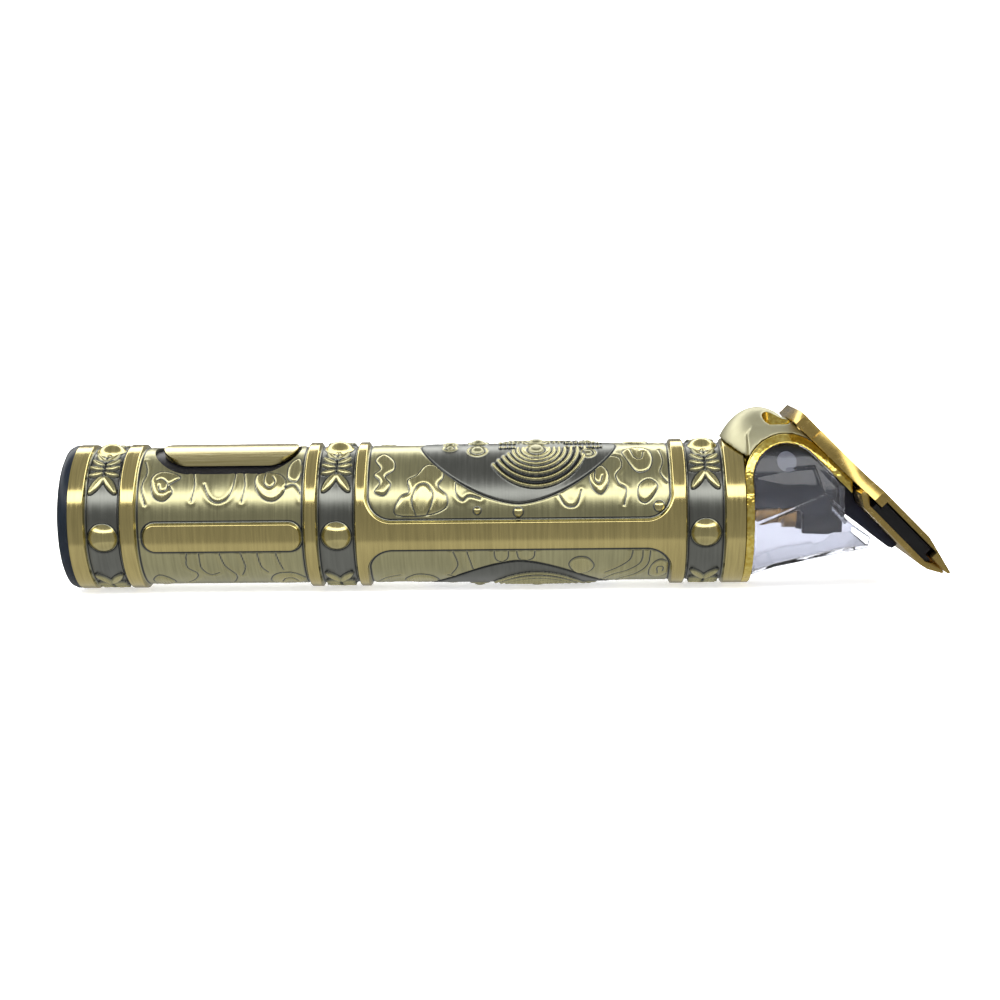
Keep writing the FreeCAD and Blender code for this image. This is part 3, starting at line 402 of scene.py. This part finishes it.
def record_age(mesh):
    """Write the age of every point of the sleeve's face into the mesh, for its material."""
    co = points_of(mesh).astype(float) / MM
    y, z = co[:, 1], co[:, 2] - AXIS / MM
    turn = np.degrees(np.arctan2(z, -y) + SLEEVE_ROLL)
    _, age = sleeve_face(co[:, 0] - TAIL / MM, turn)
    age = np.where(np.hypot(y, z) < PANEL - 0.35, BORE_AGE, age)
    mesh.attributes.new("age", "FLOAT", "POINT").data.foreach_set("value", age.astype(np.float32))


def shader(name, base, roughness, metallic=1.0):
    """A material with its Principled shader, and a way to wire nodes into it."""
    material = bpy.data.materials.new(name)
    material.use_nodes = True
    nodes, links = material.node_tree.nodes, material.node_tree.links
    principled = nodes["Principled BSDF"]
    principled.inputs["Base Color"].default_value = (*base, 1)
    principled.inputs["Roughness"].default_value = roughness
    principled.inputs["Metallic"].default_value = metallic
    return material, nodes, links, principled


def noise_field(nodes, links, stretch, scale, detail=2.0):
    """Noise over the part's own coordinates (m), drawn out where the stretch is small."""
    where = nodes.new("ShaderNodeTexCoord")
    mapping = nodes.new("ShaderNodeMapping")
    mapping.inputs["Scale"].default_value = stretch
    noise = nodes.new("ShaderNodeTexNoise")
    noise.inputs["Scale"].default_value = scale
    noise.inputs["Detail"].default_value = detail
    links.new(where.outputs["Object"], mapping.inputs["Vector"])
    links.new(mapping.outputs["Vector"], noise.inputs["Vector"])
    return noise.outputs["Fac"]


def spread(nodes, links, value, low, high):
    """Carry a noise's middle range, 0.3 to 0.7, onto low..high."""
    fit = nodes.new("ShaderNodeMapRange")
    fit.inputs["From Min"].default_value = 0.3
    fit.inputs["From Max"].default_value = 0.7
    fit.inputs["To Min"].default_value = low
    fit.inputs["To Max"].default_value = high
    links.new(value, fit.inputs["Value"])
    return fit.outputs["Result"]


def ramp(nodes, links, value, stops):
    """A colour ramp with its stops as (place, colour)."""
    made = nodes.new("ShaderNodeValToRGB")
    while len(made.color_ramp.elements) < len(stops):
        made.color_ramp.elements.new(0.5)
    for element, (place, colour) in zip(made.color_ramp.elements, stops):
        element.position = place
        element.color = (*colour, 1)
    links.new(value, made.inputs["Fac"])
    return made.outputs["Color"]


def tint(nodes, links, colour, value):
    """Multiply a colour by a grey value."""
    mix = nodes.new("ShaderNodeMix")
    mix.data_type, mix.blend_type = "RGBA", "MULTIPLY"
    mix.inputs["Factor"].default_value = 1
    links.new(colour, mix.inputs["A"])
    links.new(value, mix.inputs["B"])
    return mix.outputs["Result"]


def arithmetic(nodes, links, kind, first, second):
    """Add or multiply two values, each a number or the output of a node."""
    node = nodes.new("ShaderNodeMath")
    node.operation = kind
    for socket, value in zip(node.inputs, (first, second)):
        if isinstance(value, (int, float)):
            socket.default_value = value
        else:
            links.new(value, socket)
    return node.outputs["Value"]


def dent(nodes, links, principled, height, depth_mm, strength=1.0):
    """Press a height into the surface as fine relief of that depth (mm)."""
    bump = nodes.new("ShaderNodeBump")
    bump.inputs["Distance"].default_value = depth_mm * MM
    bump.inputs["Strength"].default_value = strength
    links.new(height, bump.inputs["Height"])
    links.new(bump.outputs["Normal"], principled.inputs["Normal"])


def make_aged_brass():
    """Polished brass, olive brushed brass, gunmetal and black, by the age of each point."""
    material, nodes, links, principled = shader("aged_brass", (0.7, 0.6, 0.3), 0.3)
    age = nodes.new("ShaderNodeAttribute")
    age.attribute_name = "age"
    level = age.outputs["Fac"]
    colour = ramp(nodes, links, level, [(0.0, (0.66, 0.55, 0.235)), (0.16, (0.60, 0.54, 0.27)),
                                        (0.34, (0.50, 0.475, 0.275)), (0.62, (0.23, 0.235, 0.215)),
                                        (0.85, (0.06, 0.064, 0.066)), (1.0, (0.012, 0.013, 0.016))])
    brush = noise_field(nodes, links, (1, 0.05, 0.05), 2600, 4)
    cloudy = noise_field(nodes, links, (1, 0.5, 0.5), 160, 3)
    tone = arithmetic(nodes, links, "MULTIPLY", spread(nodes, links, brush, 0.86, 1.1),
                      spread(nodes, links, cloudy, 0.9, 1.06))
    links.new(tint(nodes, links, colour, tone), principled.inputs["Base Color"])
    rough = ramp(nodes, links, level, [(0.0, (0.17,) * 3), (0.2, (0.24,) * 3), (0.34, (0.33,) * 3),
                                       (0.66, (0.38,) * 3), (1.0, (0.6,) * 3)])
    grain = spread(nodes, links, brush, -0.05, 0.06)
    links.new(arithmetic(nodes, links, "ADD", rough, grain), principled.inputs["Roughness"])
    depth = arithmetic(nodes, links, "MULTIPLY", brush,
                       arithmetic(nodes, links, "ADD", level, 0.08))
    dent(nodes, links, principled, depth, 0.02, 0.55)
    round_the_bar = nodes.new("ShaderNodeTangent")
    round_the_bar.direction_type, round_the_bar.axis = "RADIAL", "X"
    links.new(round_the_bar.outputs["Tangent"], principled.inputs["Tangent"])
    principled.inputs["Anisotropic"].default_value = 0.6
    principled.inputs["Anisotropic Rotation"].default_value = 0.25
    return material


aged_brass = make_aged_brass()


def add_piece(name, mesh, material, body, slot, *replaced):
    """Link a finished mesh as a piece of the object."""
    obj = bpy.data.objects.new(name, mesh)
    bpy.context.scene.collection.objects.link(obj)
    mesh.materials.clear()
    mesh.materials.append(material)
    if replaced:
        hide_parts(*replaced)
    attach(obj, body)
    return obj


def cut_away(mesh, cutter):
    """The mesh with the cutter's shape taken out of it."""
    scene = bpy.context.scene.collection.objects
    stock, tool = bpy.data.objects.new("stock", mesh), bpy.data.objects.new("tool", cutter)
    scene.link(stock)
    scene.link(tool)
    boolean = stock.modifiers.new("cut", "BOOLEAN")
    boolean.operation, boolean.solver, boolean.object = "DIFFERENCE", "MANIFOLD", tool
    made = bpy.data.meshes.new_from_object(
        stock.evaluated_get(bpy.context.evaluated_depsgraph_get()))
    bpy.data.objects.remove(stock)
    bpy.data.objects.remove(tool)
    return made


NEAR_ZERO = 1e-6


def pill_block(start, end, half_width, low, high):
    """An upright block with half-round ends, in the handle's upright frame (mm)."""
    bm = bmesh.new()
    bmesh.ops.create_circle(bm, cap_ends=True, segments=96, radius=half_width)
    middle, half = (start + end) / 2, (end - start) / 2 - half_width
    for v in bm.verts:
        v.co.x += half if v.co.x > NEAR_ZERO else -half if v.co.x < -NEAR_ZERO else 0
        v.co += Vector((middle, 0, low))
    for v in [v for v in bm.verts if abs(v.co.x - middle) < NEAR_ZERO]:
        v.co.x += half
    top = bmesh.ops.extrude_face_region(bm, geom=bm.faces[:])["geom"]
    bmesh.ops.translate(bm, vec=(0, 0, high - low),
                        verts=[g for g in top if isinstance(g, bmesh.types.BMVert)])
    bmesh.ops.recalc_face_normals(bm, faces=bm.faces)
    return bm


def handle_mesh(name, bm):
    """Carry a bmesh drawn upright in millimetres to the turned handle, as a mesh."""
    for v in bm.verts:
        v.co = Vector(from_handle(*v.co))
    mesh = bpy.data.meshes.new(name)
    bm.to_mesh(mesh)
    bm.free()
    return mesh


# the sleeve is open over the switch: where the opening starts and ends, and its half width
OPENING_START, OPENING_END, OPENING_HALF = 16.3, 43.0, 7.3
SLEEVE_LENGTHS = [("tail_rings", 2.15, 12.75, CELL), ("switch_panel", 12.75, 45.45, CELL * 1.13),
                  ("waist_rings", 45.45, 54.4, CELL), ("grip_rear", 54.4, 73.3, CELL),
                  ("grip_middle", 73.3, 92.2, CELL), ("grip_front", 92.2, 111.1, CELL),
                  ("neck_rings", 111.1, 122.75, CELL)]
for name, start, end, cell in SLEEVE_LENGTHS:
    length = sleeve_length(name, start, end, cell)
    if name == "switch_panel":
        opening = pill_block(OPENING_START, OPENING_END, OPENING_HALF, 3, 20)
        length = cut_away(length, handle_mesh("opening", opening))
    record_age(length)
    add_piece(name, length, aged_brass, "handle", "antique_brass", "handle_sleeve")

# ------------------------------------------------------------------ slide switch
# A brass saddle slides along the handle on a black moulded bezel sunk in the sleeve. A plastic
# stem under it works the small electrical switch on the board.
KNOB_START, KNOB_END, KNOB_HALF = 18.0, 42.5, 5.2
KNOB_UNDER, KNOB_TOP, KNOB_CHAMFER = 12.25, 13.1, 0.62


def make_knob_brass():
    """Yellow brass, brushed along the saddle."""
    material, nodes, links, principled = shader("knob_brass", (0.66, 0.57, 0.28), 0.2)
    brush = noise_field(nodes, links, (0.04, 1, 1), 2600, 3)
    colour = ramp(nodes, links, brush, [(0.3, (0.58, 0.50, 0.235)), (0.7, (0.72, 0.63, 0.33))])
    links.new(colour, principled.inputs["Base Color"])
    links.new(spread(nodes, links, brush, 0.16, 0.28), principled.inputs["Roughness"])
    dent(nodes, links, principled, brush, 0.01, 0.4)
    return material


bm = pill_block(KNOB_START, KNOB_END, KNOB_HALF, 0, 1)
for step in np.arange(-5.0, 5.01, 0.5):
    bmesh.ops.bisect_plane(bm, geom=bm.verts[:] + bm.edges[:] + bm.faces[:], dist=1e-5,
                           plane_co=(0, step, 0), plane_no=(0, 1, 0))
rim = [e for e in bm.edges if all(v.co.z > 0.5 for v in e.verts)
       and any(abs(f.normal.z) < 0.5 for f in e.link_faces)]
for v in bm.verts:
    reach = KNOB_TOP if v.co.z > 0.5 else KNOB_UNDER
    v.co.z = math.sqrt(reach ** 2 - v.co.y ** 2)
bmesh.ops.bevel(bm, geom=rim, offset=KNOB_CHAMFER, offset_type="OFFSET", segments=1, profile=0.5,
                affect="EDGES", material=-1, clamp_overlap=True)
for f in bm.faces:
    f.smooth = True
for e in bm.edges:
    e.smooth = e.calc_face_angle(0) < math.radians(20)
add_piece("slide_knob", handle_mesh("slide_knob", bm), make_knob_brass(), "switch",
          "knob_brass", "switch_knob")


def dress(nodes_named, material):
    """Give a CAD node the material of what it is made of."""
    for node in nodes_named:
        mesh = frame["nodes"][node].data
        mesh.materials.clear()
        mesh.materials.append(material)


def moulded(name, colour, roughness, grain=900, depth=0.01):
    """Moulded plastic: a fine spark-eroded grain and slight unevenness of tone."""
    material, nodes, links, principled = shader(name, colour, roughness, 0.0)
    principled.inputs["Specular IOR Level"].default_value = 0.3
    fine = noise_field(nodes, links, (1, 1, 1), grain * 4, 2)
    broad = noise_field(nodes, links, (1, 1, 1), grain / 6, 2)
    dark, light = [tuple(min(1, c * k) for c in colour) for k in (0.8, 1.2)]
    colour = ramp(nodes, links, broad, [(0.3, dark), (0.7, light)])
    links.new(colour, principled.inputs["Base Color"])
    links.new(spread(nodes, links, fine, roughness - 0.06, roughness + 0.08),
              principled.inputs["Roughness"])
    dent(nodes, links, principled, fine, depth, 0.5)
    return material


def worked_metal(name, colour, roughness, stretch=(1, 1, 1), scale=1500, depth=0.008):
    """Machined or drawn metal: tool lines drawn out along the stretch, and uneven polish."""
    material, nodes, links, principled = shader(name, colour, roughness)
    lines = noise_field(nodes, links, stretch, scale, 3)
    dark, light = [tuple(min(1, c * k) for c in colour) for k in (0.82, 1.12)]
    colour = ramp(nodes, links, lines, [(0.3, dark), (0.7, light)])
    links.new(colour, principled.inputs["Base Color"])
    links.new(spread(nodes, links, lines, roughness * 0.75, roughness * 1.3),
              principled.inputs["Roughness"])
    dent(nodes, links, principled, lines, depth, 0.4)
    return material


black_plastic = moulded("black_plastic", (0.004, 0.004, 0.005), 0.36)
dress(["switch_frame", "switch_slider", "slide_switch"], black_plastic)

# ------------------------------------------------------------------ tail cap
# A blue-black nylon plug pressed in the sleeve's end, with the charging socket, its contact
# tongue and a small light pipe beside it.
def softened(node, name, width, segments=2, angle=30):
    """A CAD node's shape with its edges broken by a small round."""
    bm = bmesh.new()
    bm.from_mesh(frame["nodes"][node].data)
    bmesh.ops.remove_doubles(bm, verts=bm.verts, dist=0.002 * MM)
    bmesh.ops.dissolve_limit(bm, angle_limit=math.radians(0.6), verts=bm.verts, edges=bm.edges)
    sharp = [e for e in bm.edges if len(e.link_faces) == 2
             and e.calc_face_angle(0) > math.radians(angle)]
    bmesh.ops.bevel(bm, geom=sharp, offset=width * MM, offset_type="OFFSET", segments=segments,
                    profile=0.5, affect="EDGES", material=-1, clamp_overlap=True)
    bmesh.ops.triangulate(bm, faces=[f for f in bm.faces if len(f.verts) > 4])
    for f in bm.faces:
        f.smooth = True
    for e in bm.edges:
        e.smooth = e.calc_face_angle(0) < math.radians(32)
    mesh = bpy.data.meshes.new(name)
    bm.to_mesh(mesh)
    bm.free()
    return mesh


cap_plastic = moulded("cap_plastic", (0.003, 0.006, 0.011), 0.36)
add_piece("tail_plug", softened("tail_cap", "tail_plug", 0.12), cap_plastic, "handle",
          "slate_plastic", "tail_cap")
steel = worked_metal("drawn_steel", (0.56, 0.57, 0.58), 0.3, (0.1, 1, 1))
nickel = worked_metal("nickel_plate", (0.62, 0.60, 0.56), 0.26, (0.1, 1, 1))
dress(["usb_socket"], nickel)
dress(["usb_tongue"], black_plastic)
light_pipe = moulded("light_pipe", (0.72, 0.74, 0.72), 0.25)
dress(["charge_light"], light_pipe)

# ------------------------------------------------------------------ boards, cell and cradle
# Green-black laminate boards, a wrapped lithium cell between two nickel tabs, and the grey
# cradle that holds them in the bore.
board_green = moulded("board_laminate", (0.015, 0.09, 0.045), 0.3, 500)
dress(["charge_board", "main_board"], board_green)
dress(["battery_cell"], moulded("cell_wrap", (0.05, 0.16, 0.34), 0.28, 300))
dress(["cell_contact_rear", "cell_contact_front"], nickel)
dress(["inner_carrier"], moulded("cradle_plastic", (0.11, 0.115, 0.12), 0.5))

# ------------------------------------------------------------------ motor and cam
# A brushed motor: drawn steel can, plastic end cap, ferrite magnets, laminated core and copper
# commutator on a ground shaft in bronze bushes, with a brass cam pressed on its end.
dress(["motor_can", "motor_screws", "motor_shaft"], steel)
dress(["motor_mount", "motor_end_cap"], moulded("bulkhead_plastic", (0.03, 0.032, 0.036), 0.45))
dress(["motor_magnets"], moulded("ferrite", (0.05, 0.05, 0.052), 0.7, 600))
dress(["rotor_core"], worked_metal("core_laminations", (0.30, 0.31, 0.33), 0.45, (1, 0.05, 0.05)))
dress(["commutator"], worked_metal("commutator_copper", (0.80, 0.42, 0.25), 0.3, (0.1, 1, 1)))
dress(["front_bush", "rear_bush"], worked_metal("bush_bronze", (0.55, 0.38, 0.18), 0.42))
dress(["eccentric_cam"], worked_metal("cam_brass", (0.42, 0.25, 0.09), 0.22, (1, 0.1, 0.1)))

# ------------------------------------------------------------------ hood
# A cast zinc hood in a satin champagne coat. It bulges over the sleeve's end, carries the
# blade in front and is cut by two side arches.
def smoothed(node, name, voxel, passes, factor=0.5):
    """A CAD node's shape re-cast in small cells, with every edge rounded by smoothing."""
    bm = bmesh.new()
    bm.from_mesh(frame["nodes"][node].data)
    bmesh.ops.remove_doubles(bm, verts=bm.verts, dist=0.002 * MM)
    mesh = bpy.data.meshes.new(name + "_stock")
    bm.to_mesh(mesh)
    bm.free()
    stock = bpy.data.objects.new(name + "_stock", mesh)
    bpy.context.scene.collection.objects.link(stock)
    remesh = stock.modifiers.new("recast", "REMESH")
    remesh.mode, remesh.voxel_size = "VOXEL", voxel * MM
    remesh.use_smooth_shade = True
    relax = stock.modifiers.new("relax", "SMOOTH")
    relax.factor, relax.iterations = factor, passes
    made = bpy.data.meshes.new_from_object(
        stock.evaluated_get(bpy.context.evaluated_depsgraph_get()))
    made.name = name
    bpy.data.objects.remove(stock)
    for polygon in made.polygons:
        polygon.use_smooth = True
    return made


def make_champagne():
    """A satin coat of pale gold with a fine cast grain."""
    material, nodes, links, principled = shader("champagne_coat", (0.47, 0.45, 0.3), 0.46, 0.92)
    cast = noise_field(nodes, links, (1, 1, 1), 220, 3)
    fine = noise_field(nodes, links, (1, 1, 1), 5000, 2)
    colour = ramp(nodes, links, cast, [(0.3, (0.45, 0.43, 0.285)), (0.7, (0.49, 0.47, 0.32))])
    links.new(colour, principled.inputs["Base Color"])
    links.new(spread(nodes, links, fine, 0.40, 0.52), principled.inputs["Roughness"])
    dent(nodes, links, principled, fine, 0.004, 0.5)
    return material


HOOD_CELL, HOOD_PASSES = 0.2, 14
hood = smoothed("neck_housing", "hood", HOOD_CELL, HOOD_PASSES)
add_piece("hood", hood, make_champagne(), "handle", "champagne", "neck_housing")

# ------------------------------------------------------------------ arch trim
# A polished gold casting: the neck ring and the rims of the two side arches, with a lightly
# hammered face.
def make_polished_gold():
    """Bright gold plate over a lightly hammered casting."""
    material, nodes, links, principled = shader("polished_gold", (0.80, 0.62, 0.16), 0.14)
    hammer = noise_field(nodes, links, (1, 1, 1), 1300, 1)
    fine = noise_field(nodes, links, (1, 1, 1), 2600, 2)
    colour = ramp(nodes, links, hammer, [(0.3, (0.72, 0.52, 0.09)), (0.7, (0.95, 0.78, 0.24))])
    links.new(colour, principled.inputs["Base Color"])
    links.new(spread(nodes, links, fine, 0.1, 0.2), principled.inputs["Roughness"])
    dent(nodes, links, principled, hammer, 0.12, 0.6)
    return material


polished_gold = make_polished_gold()
RIM_CELL, RIM_PASSES = 0.16, 3
arch_rims = smoothed("arch_trim", "arch_rims", RIM_CELL, RIM_PASSES)
add_piece("arch_rims", arch_rims, polished_gold, "handle", "polished_gold", "arch_trim")

# ------------------------------------------------------------------ eye liners
# A thin gold-plated cup lines each of the two oval eyes that are sunk in the hood's top. Its
# rim follows the hood's face just below it.
EYE_START, EYE_END, EYE_SIDE, EYE_HALF, EYE_FLOOR = 126.6, 131.8, 3.9, 1.58, 15.42
EYE_WALL, EYE_CUP, EYE_BELOW_FACE, EYE_LEAST = 0.22, 0.25, 0.14, 0.35
DOME_ALONG, DOME_UP, DOME_RISE, DOME_LONG, DOME_WIDE = 126.15, 5, 14, 8.8, 9.6
BODY_UP, BODY_RISE, BODY_WIDE = 2.5, 15.5, 11.9
SLOPES = [(126.15, 18, 0.217), (131.49, 16.84, 1.027)]      # start, height there, fall


def hood_face(x, y):
    """Height of the hood's face over a point of its top (mm)."""
    left = 1 - ((x - DOME_ALONG) / DOME_LONG) ** 2 - (y / DOME_WIDE) ** 2
    dome = DOME_UP + DOME_RISE * math.sqrt(max(0, left))
    body = BODY_UP + BODY_RISE * math.sqrt(1 - (y / BODY_WIDE) ** 2)
    slope = min(high - fall * (x - along) for along, high, fall in SLOPES)
    return max(dome, min(body, slope))


for side, sign in (("near", -1), ("far", 1)):
    bm = pill_block(EYE_START, EYE_END, EYE_HALF, EYE_FLOOR, EYE_FLOOR + 1)
    lid = [f for f in bm.faces if f.normal.z > 0.9]
    bmesh.ops.inset_region(bm, faces=lid, thickness=EYE_WALL, use_even_offset=True)
    for v in bm.verts:
        v.co.y += sign * EYE_SIDE
    cup = {v for f in lid for v in f.verts}
    for v in bm.verts:
        if v.co.z > EYE_FLOOR + 0.5 and v not in cup:
            below_face = hood_face(v.co.x, v.co.y) - EYE_BELOW_FACE
            v.co.z = max(EYE_FLOOR + EYE_LEAST, below_face)
    for v in cup:
        v.co.z = EYE_FLOOR + EYE_CUP
    mesh = bpy.data.meshes.new("eye_liner_" + side)
    for v in bm.verts:
        v.co = Vector((TAIL + v.co.x * MM, v.co.y * MM, AXIS + v.co.z * MM))
    bm.to_mesh(mesh)
    bm.free()
    add_piece("eye_liner_" + side, mesh, polished_gold, "handle", "polished_gold", "neck_housing")

# ------------------------------------------------------------------ clear cover
# A moulded clear shell inside the arches. Its two side walls are cut in flat facets that meet
# in a low point, with raised creases between them. Two pale posts pin it to the dark block that
# takes the blade screws.
FACET_PEAK, FACET_HIGH = (136.6, 3.9), 0.7
FACET_CORNERS = [(125.6, -1.0), (124.6, 7.0), (135.0, 8.9), (141.0, 3.5), (140.8, 0.4),
                 (134.0, -8.0)]
CREASES = [(FACET_PEAK, (125.6, -1.0)), (FACET_PEAK, (140.8, 0.4)),
           (FACET_PEAK, (135.0, 8.9)), ((135.0, 8.9), (130.3, 8.4))]
CREASE_HIGH, CREASE_WIDE = 0.3, 0.17
COVER_CELL, COVER_PASSES = 0.17, 2


def make_clear():
    """Clear plastic with a faint smoky tint and slightly wavy faces."""
    material, nodes, links, principled = shader("clear_cover", (0.50, 0.51, 0.56), 0.04, 0.0)
    principled.inputs["Transmission Weight"].default_value = 1.0
    principled.inputs["IOR"].default_value = 1.46
    wavy = noise_field(nodes, links, (1, 1, 1), 120, 2)
    links.new(spread(nodes, links, wavy, 0.01, 0.07), principled.inputs["Roughness"])
    dent(nodes, links, principled, wavy, 0.03, 0.3)
    return material


cover = smoothed("clear_cover", "cover_shell", COVER_CELL, COVER_PASSES)
co = points_of(cover)
normals = np.empty(co.size, np.float32)
cover.vertex_normals.foreach_get("vector", normals)
wall_x, wall_z = (co[:, 0] - TAIL) / MM, (co[:, 2] - AXIS) / MM
px, pz = wall_x - FACET_PEAK[0], wall_z - FACET_PEAK[1]
height = np.zeros(len(co))
spokes = [(x - FACET_PEAK[0], z - FACET_PEAK[1]) for x, z in FACET_CORNERS]
for (ax, az), (bx, bz) in zip(spokes, spokes[1:] + spokes[:1]):
    area = ax * bz - az * bx
    first, second = (px * bz - pz * bx) / area, (ax * pz - az * px) / area
    held = (first >= 0) & (second >= 0)
    height = np.where(held, np.maximum(0, 1 - first - second), height)
height *= FACET_HIGH
for crease in CREASES:
    away = along_line(wall_x, wall_z, np.array(crease, np.float64))
    height += CREASE_HIGH * trace(away, CREASE_WIDE)
outward = normals.reshape(-1, 3)[:, 1] * np.sign(co[:, 1])
co[:, 1] += np.where(outward > 0.3, np.sign(co[:, 1]) * MM * height, 0)
cover.vertices.foreach_set("co", co.ravel())
cover.update()
add_piece("cover_shell", cover, make_clear(), "handle", "clear", "clear_cover")
dress(["cover_pins"], moulded("pin_plastic", (0.30, 0.31, 0.34), 0.4))
slate_plastic = moulded("slate_plastic", (0.011, 0.014, 0.024), 0.42)
dress(["blade_seat"], slate_plastic)

# ------------------------------------------------------------------ fixed blade
# A ground steel plate in gold titanium coat: narrow stem with two countersunk screws, wide
# bevelled front with a row of teeth.
def make_blade_gold():
    """Gold-coloured hard coat over a face ground across the plate."""
    material, nodes, links, principled = shader("blade_gold", (0.66, 0.46, 0.13), 0.24)
    grind = noise_field(nodes, links, (1, 0.06, 1), 1400, 2)
    broad = noise_field(nodes, links, (1, 1, 1), 130, 2)
    colour = ramp(nodes, links, grind, [(0.3, (0.60, 0.43, 0.13)), (0.7, (0.67, 0.49, 0.17))])
    tone = spread(nodes, links, broad, 0.85, 1.08)
    links.new(tint(nodes, links, colour, tone), principled.inputs["Base Color"])
    links.new(spread(nodes, links, grind, 0.22, 0.28), principled.inputs["Roughness"])
    dent(nodes, links, principled, grind, 0.002, 0.5)
    return material


blade_gold = make_blade_gold()
add_piece("tooth_plate", softened("fixed_blade", "tooth_plate", 0.1, 2), blade_gold, "handle",
          "blade_gold", "fixed_blade")
add_piece("plate_screws", softened("blade_screws", "plate_screws", 0.08, 2), blade_gold, "handle",
          "blade_gold", "blade_screws")

# ------------------------------------------------------------------ cutter and drive
# The sliding comb is gold-coated too, with a black slide strip on it. The black follower under
# it is worked by the cam's pin, and a bent spring wire presses both against the plate.
add_piece("cutter_comb", softened("moving_cutter", "cutter_comb", 0.08, 2), blade_gold, "cutter",
          "blade_gold", "moving_cutter")
dress(["slide_insert"], black_plastic)
add_piece("drive_bar", softened("drive_follower", "drive_bar", 0.2, 2),
          moulded("drive_plastic", (0.003, 0.004, 0.012), 0.34), "cutter", "slate_plastic",
          "drive_follower")
dress(["pressure_spring"], steel)

# ------------------------------------------------------------------ studio
# A pale sweep lit by three soft boxes. The metals mirror a plain sky: soft grey with one bright
# band high above the lens, as from a long soft box.
FLOOR_REACH, SWEEP_CURVE, SWEEP_HIGH, CURVE_STEPS = 1.4, 0.9, 3.2, 8      # metres
bm = bmesh.new()
profile = [bm.verts.new((0, 0, 0)), bm.verts.new((FLOOR_REACH, 0, 0))]
for k in range(1, CURVE_STEPS + 1):
    turn = math.radians(k * 90 / CURVE_STEPS)
    out, rise_up = SWEEP_CURVE * math.sin(turn), SWEEP_CURVE - SWEEP_CURVE * math.cos(turn)
    profile.append(bm.verts.new((FLOOR_REACH + out, 0, rise_up)))
profile.append(bm.verts.new((FLOOR_REACH + SWEEP_CURVE, 0, SWEEP_HIGH)))
edges = [bm.edges.new(pair) for pair in zip(profile[:-1], profile[1:])]
bmesh.ops.spin(bm, geom=profile + edges, cent=(0, 0, 0), axis=(0, 0, 1), angle=2 * math.pi,
               steps=96, use_merge=True, use_duplicate=False)
bmesh.ops.remove_doubles(bm, verts=bm.verts, dist=1e-5)
for f in bm.faces:
    f.smooth = True
sweep_mesh = bpy.data.meshes.new("sweep")
bm.to_mesh(sweep_mesh)
bm.free()
sweep = bpy.data.objects.new("sweep", sweep_mesh)
bpy.context.scene.collection.objects.link(sweep)
material, nodes, links, principled = shader("sweep_paper", (0.86, 0.86, 0.86), 0.9, 0.0)
principled.inputs["Emission Color"].default_value = (1, 1, 1, 1)
principled.inputs["Emission Strength"].default_value = 0.55
paper = noise_field(nodes, links, (1, 1, 1), 40, 2)
links.new(ramp(nodes, links, paper, [(0.3, (0.85,) * 3), (0.7, (0.88,) * 3)]),
          principled.inputs["Base Color"])
sweep_mesh.materials.append(material)
sweep.visible_glossy = False

world = bpy.data.worlds.new("studio_sky")
bpy.context.scene.world = world
world.use_nodes = True
nodes, links = world.node_tree.nodes, world.node_tree.links
where = nodes.new("ShaderNodeTexCoord")
split = nodes.new("ShaderNodeSeparateXYZ")
links.new(where.outputs["Generated"], split.inputs["Vector"])
height = arithmetic(nodes, links, "MULTIPLY_ADD", split.outputs["Z"], 0.5)
height.node.inputs[2].default_value = 0.5
# the sky's brightness from straight down (0) to straight up (1)
SKY = [(0.0, 0.50), (0.18, 0.60), (0.21, 0.36), (0.50, 0.32), (0.725, 0.34), (0.745, 3.4),
       (0.855, 3.4), (0.875, 0.46), (1.0, 0.36)]
sky = ramp(nodes, links, height, [(place, (level, level, level * 0.98)) for place, level in SKY])
links.new(sky, nodes["Background"].inputs["Color"])
nodes["Background"].inputs["Strength"].default_value = 1.0

LAMP_AIM = Vector((0, 0, 0.015))
SOFT_BOXES = [("key_box", (-0.25, -0.55, 0.75), 0.5, 9.0),      # place, side (m), power (W)
              ("fill_box", (0.6, 0.35, 0.6), 0.6, 5.0),
              ("top_box", (0.0, 0.0, 1.0), 0.9, 9.0)]
for name, place, size, power in SOFT_BOXES:
    data = bpy.data.lights.new(name, "AREA")
    data.shape, data.size, data.energy = "SQUARE", size, power
    lamp = bpy.data.objects.new(name, data)
    bpy.context.scene.collection.objects.link(lamp)
    lamp.location = place
    lamp.rotation_euler = (LAMP_AIM - Vector(place)).to_track_quat("-Z", "Y").to_euler()
    lamp.visible_glossy = False

FILM_WIDE, LENS = 36.0, 66.46                                    # mm
CAMERA_PLACE, CAMERA_AIM, CAMERA_ROLL = (0.007545, -0.33747, 0.05512), (0.00036, 0, 0.0160), -0.71
camera = bpy.data.objects.new("camera", bpy.data.cameras.new("camera"))
bpy.context.scene.collection.objects.link(camera)
camera.data.sensor_width, camera.data.lens = FILM_WIDE, LENS
camera.data.clip_start = 0.01
camera.location = CAMERA_PLACE
aim = Vector(CAMERA_AIM) - camera.location
tilt = Matrix.Rotation(math.radians(CAMERA_ROLL), 4, "Z")
camera.matrix_world = Matrix.Translation(camera.location) \
    @ aim.to_track_quat("-Z", "Y").to_matrix().to_4x4() @ tilt
bpy.context.scene.camera = camera
bpy.context.scene.view_settings.view_transform = "Standard"
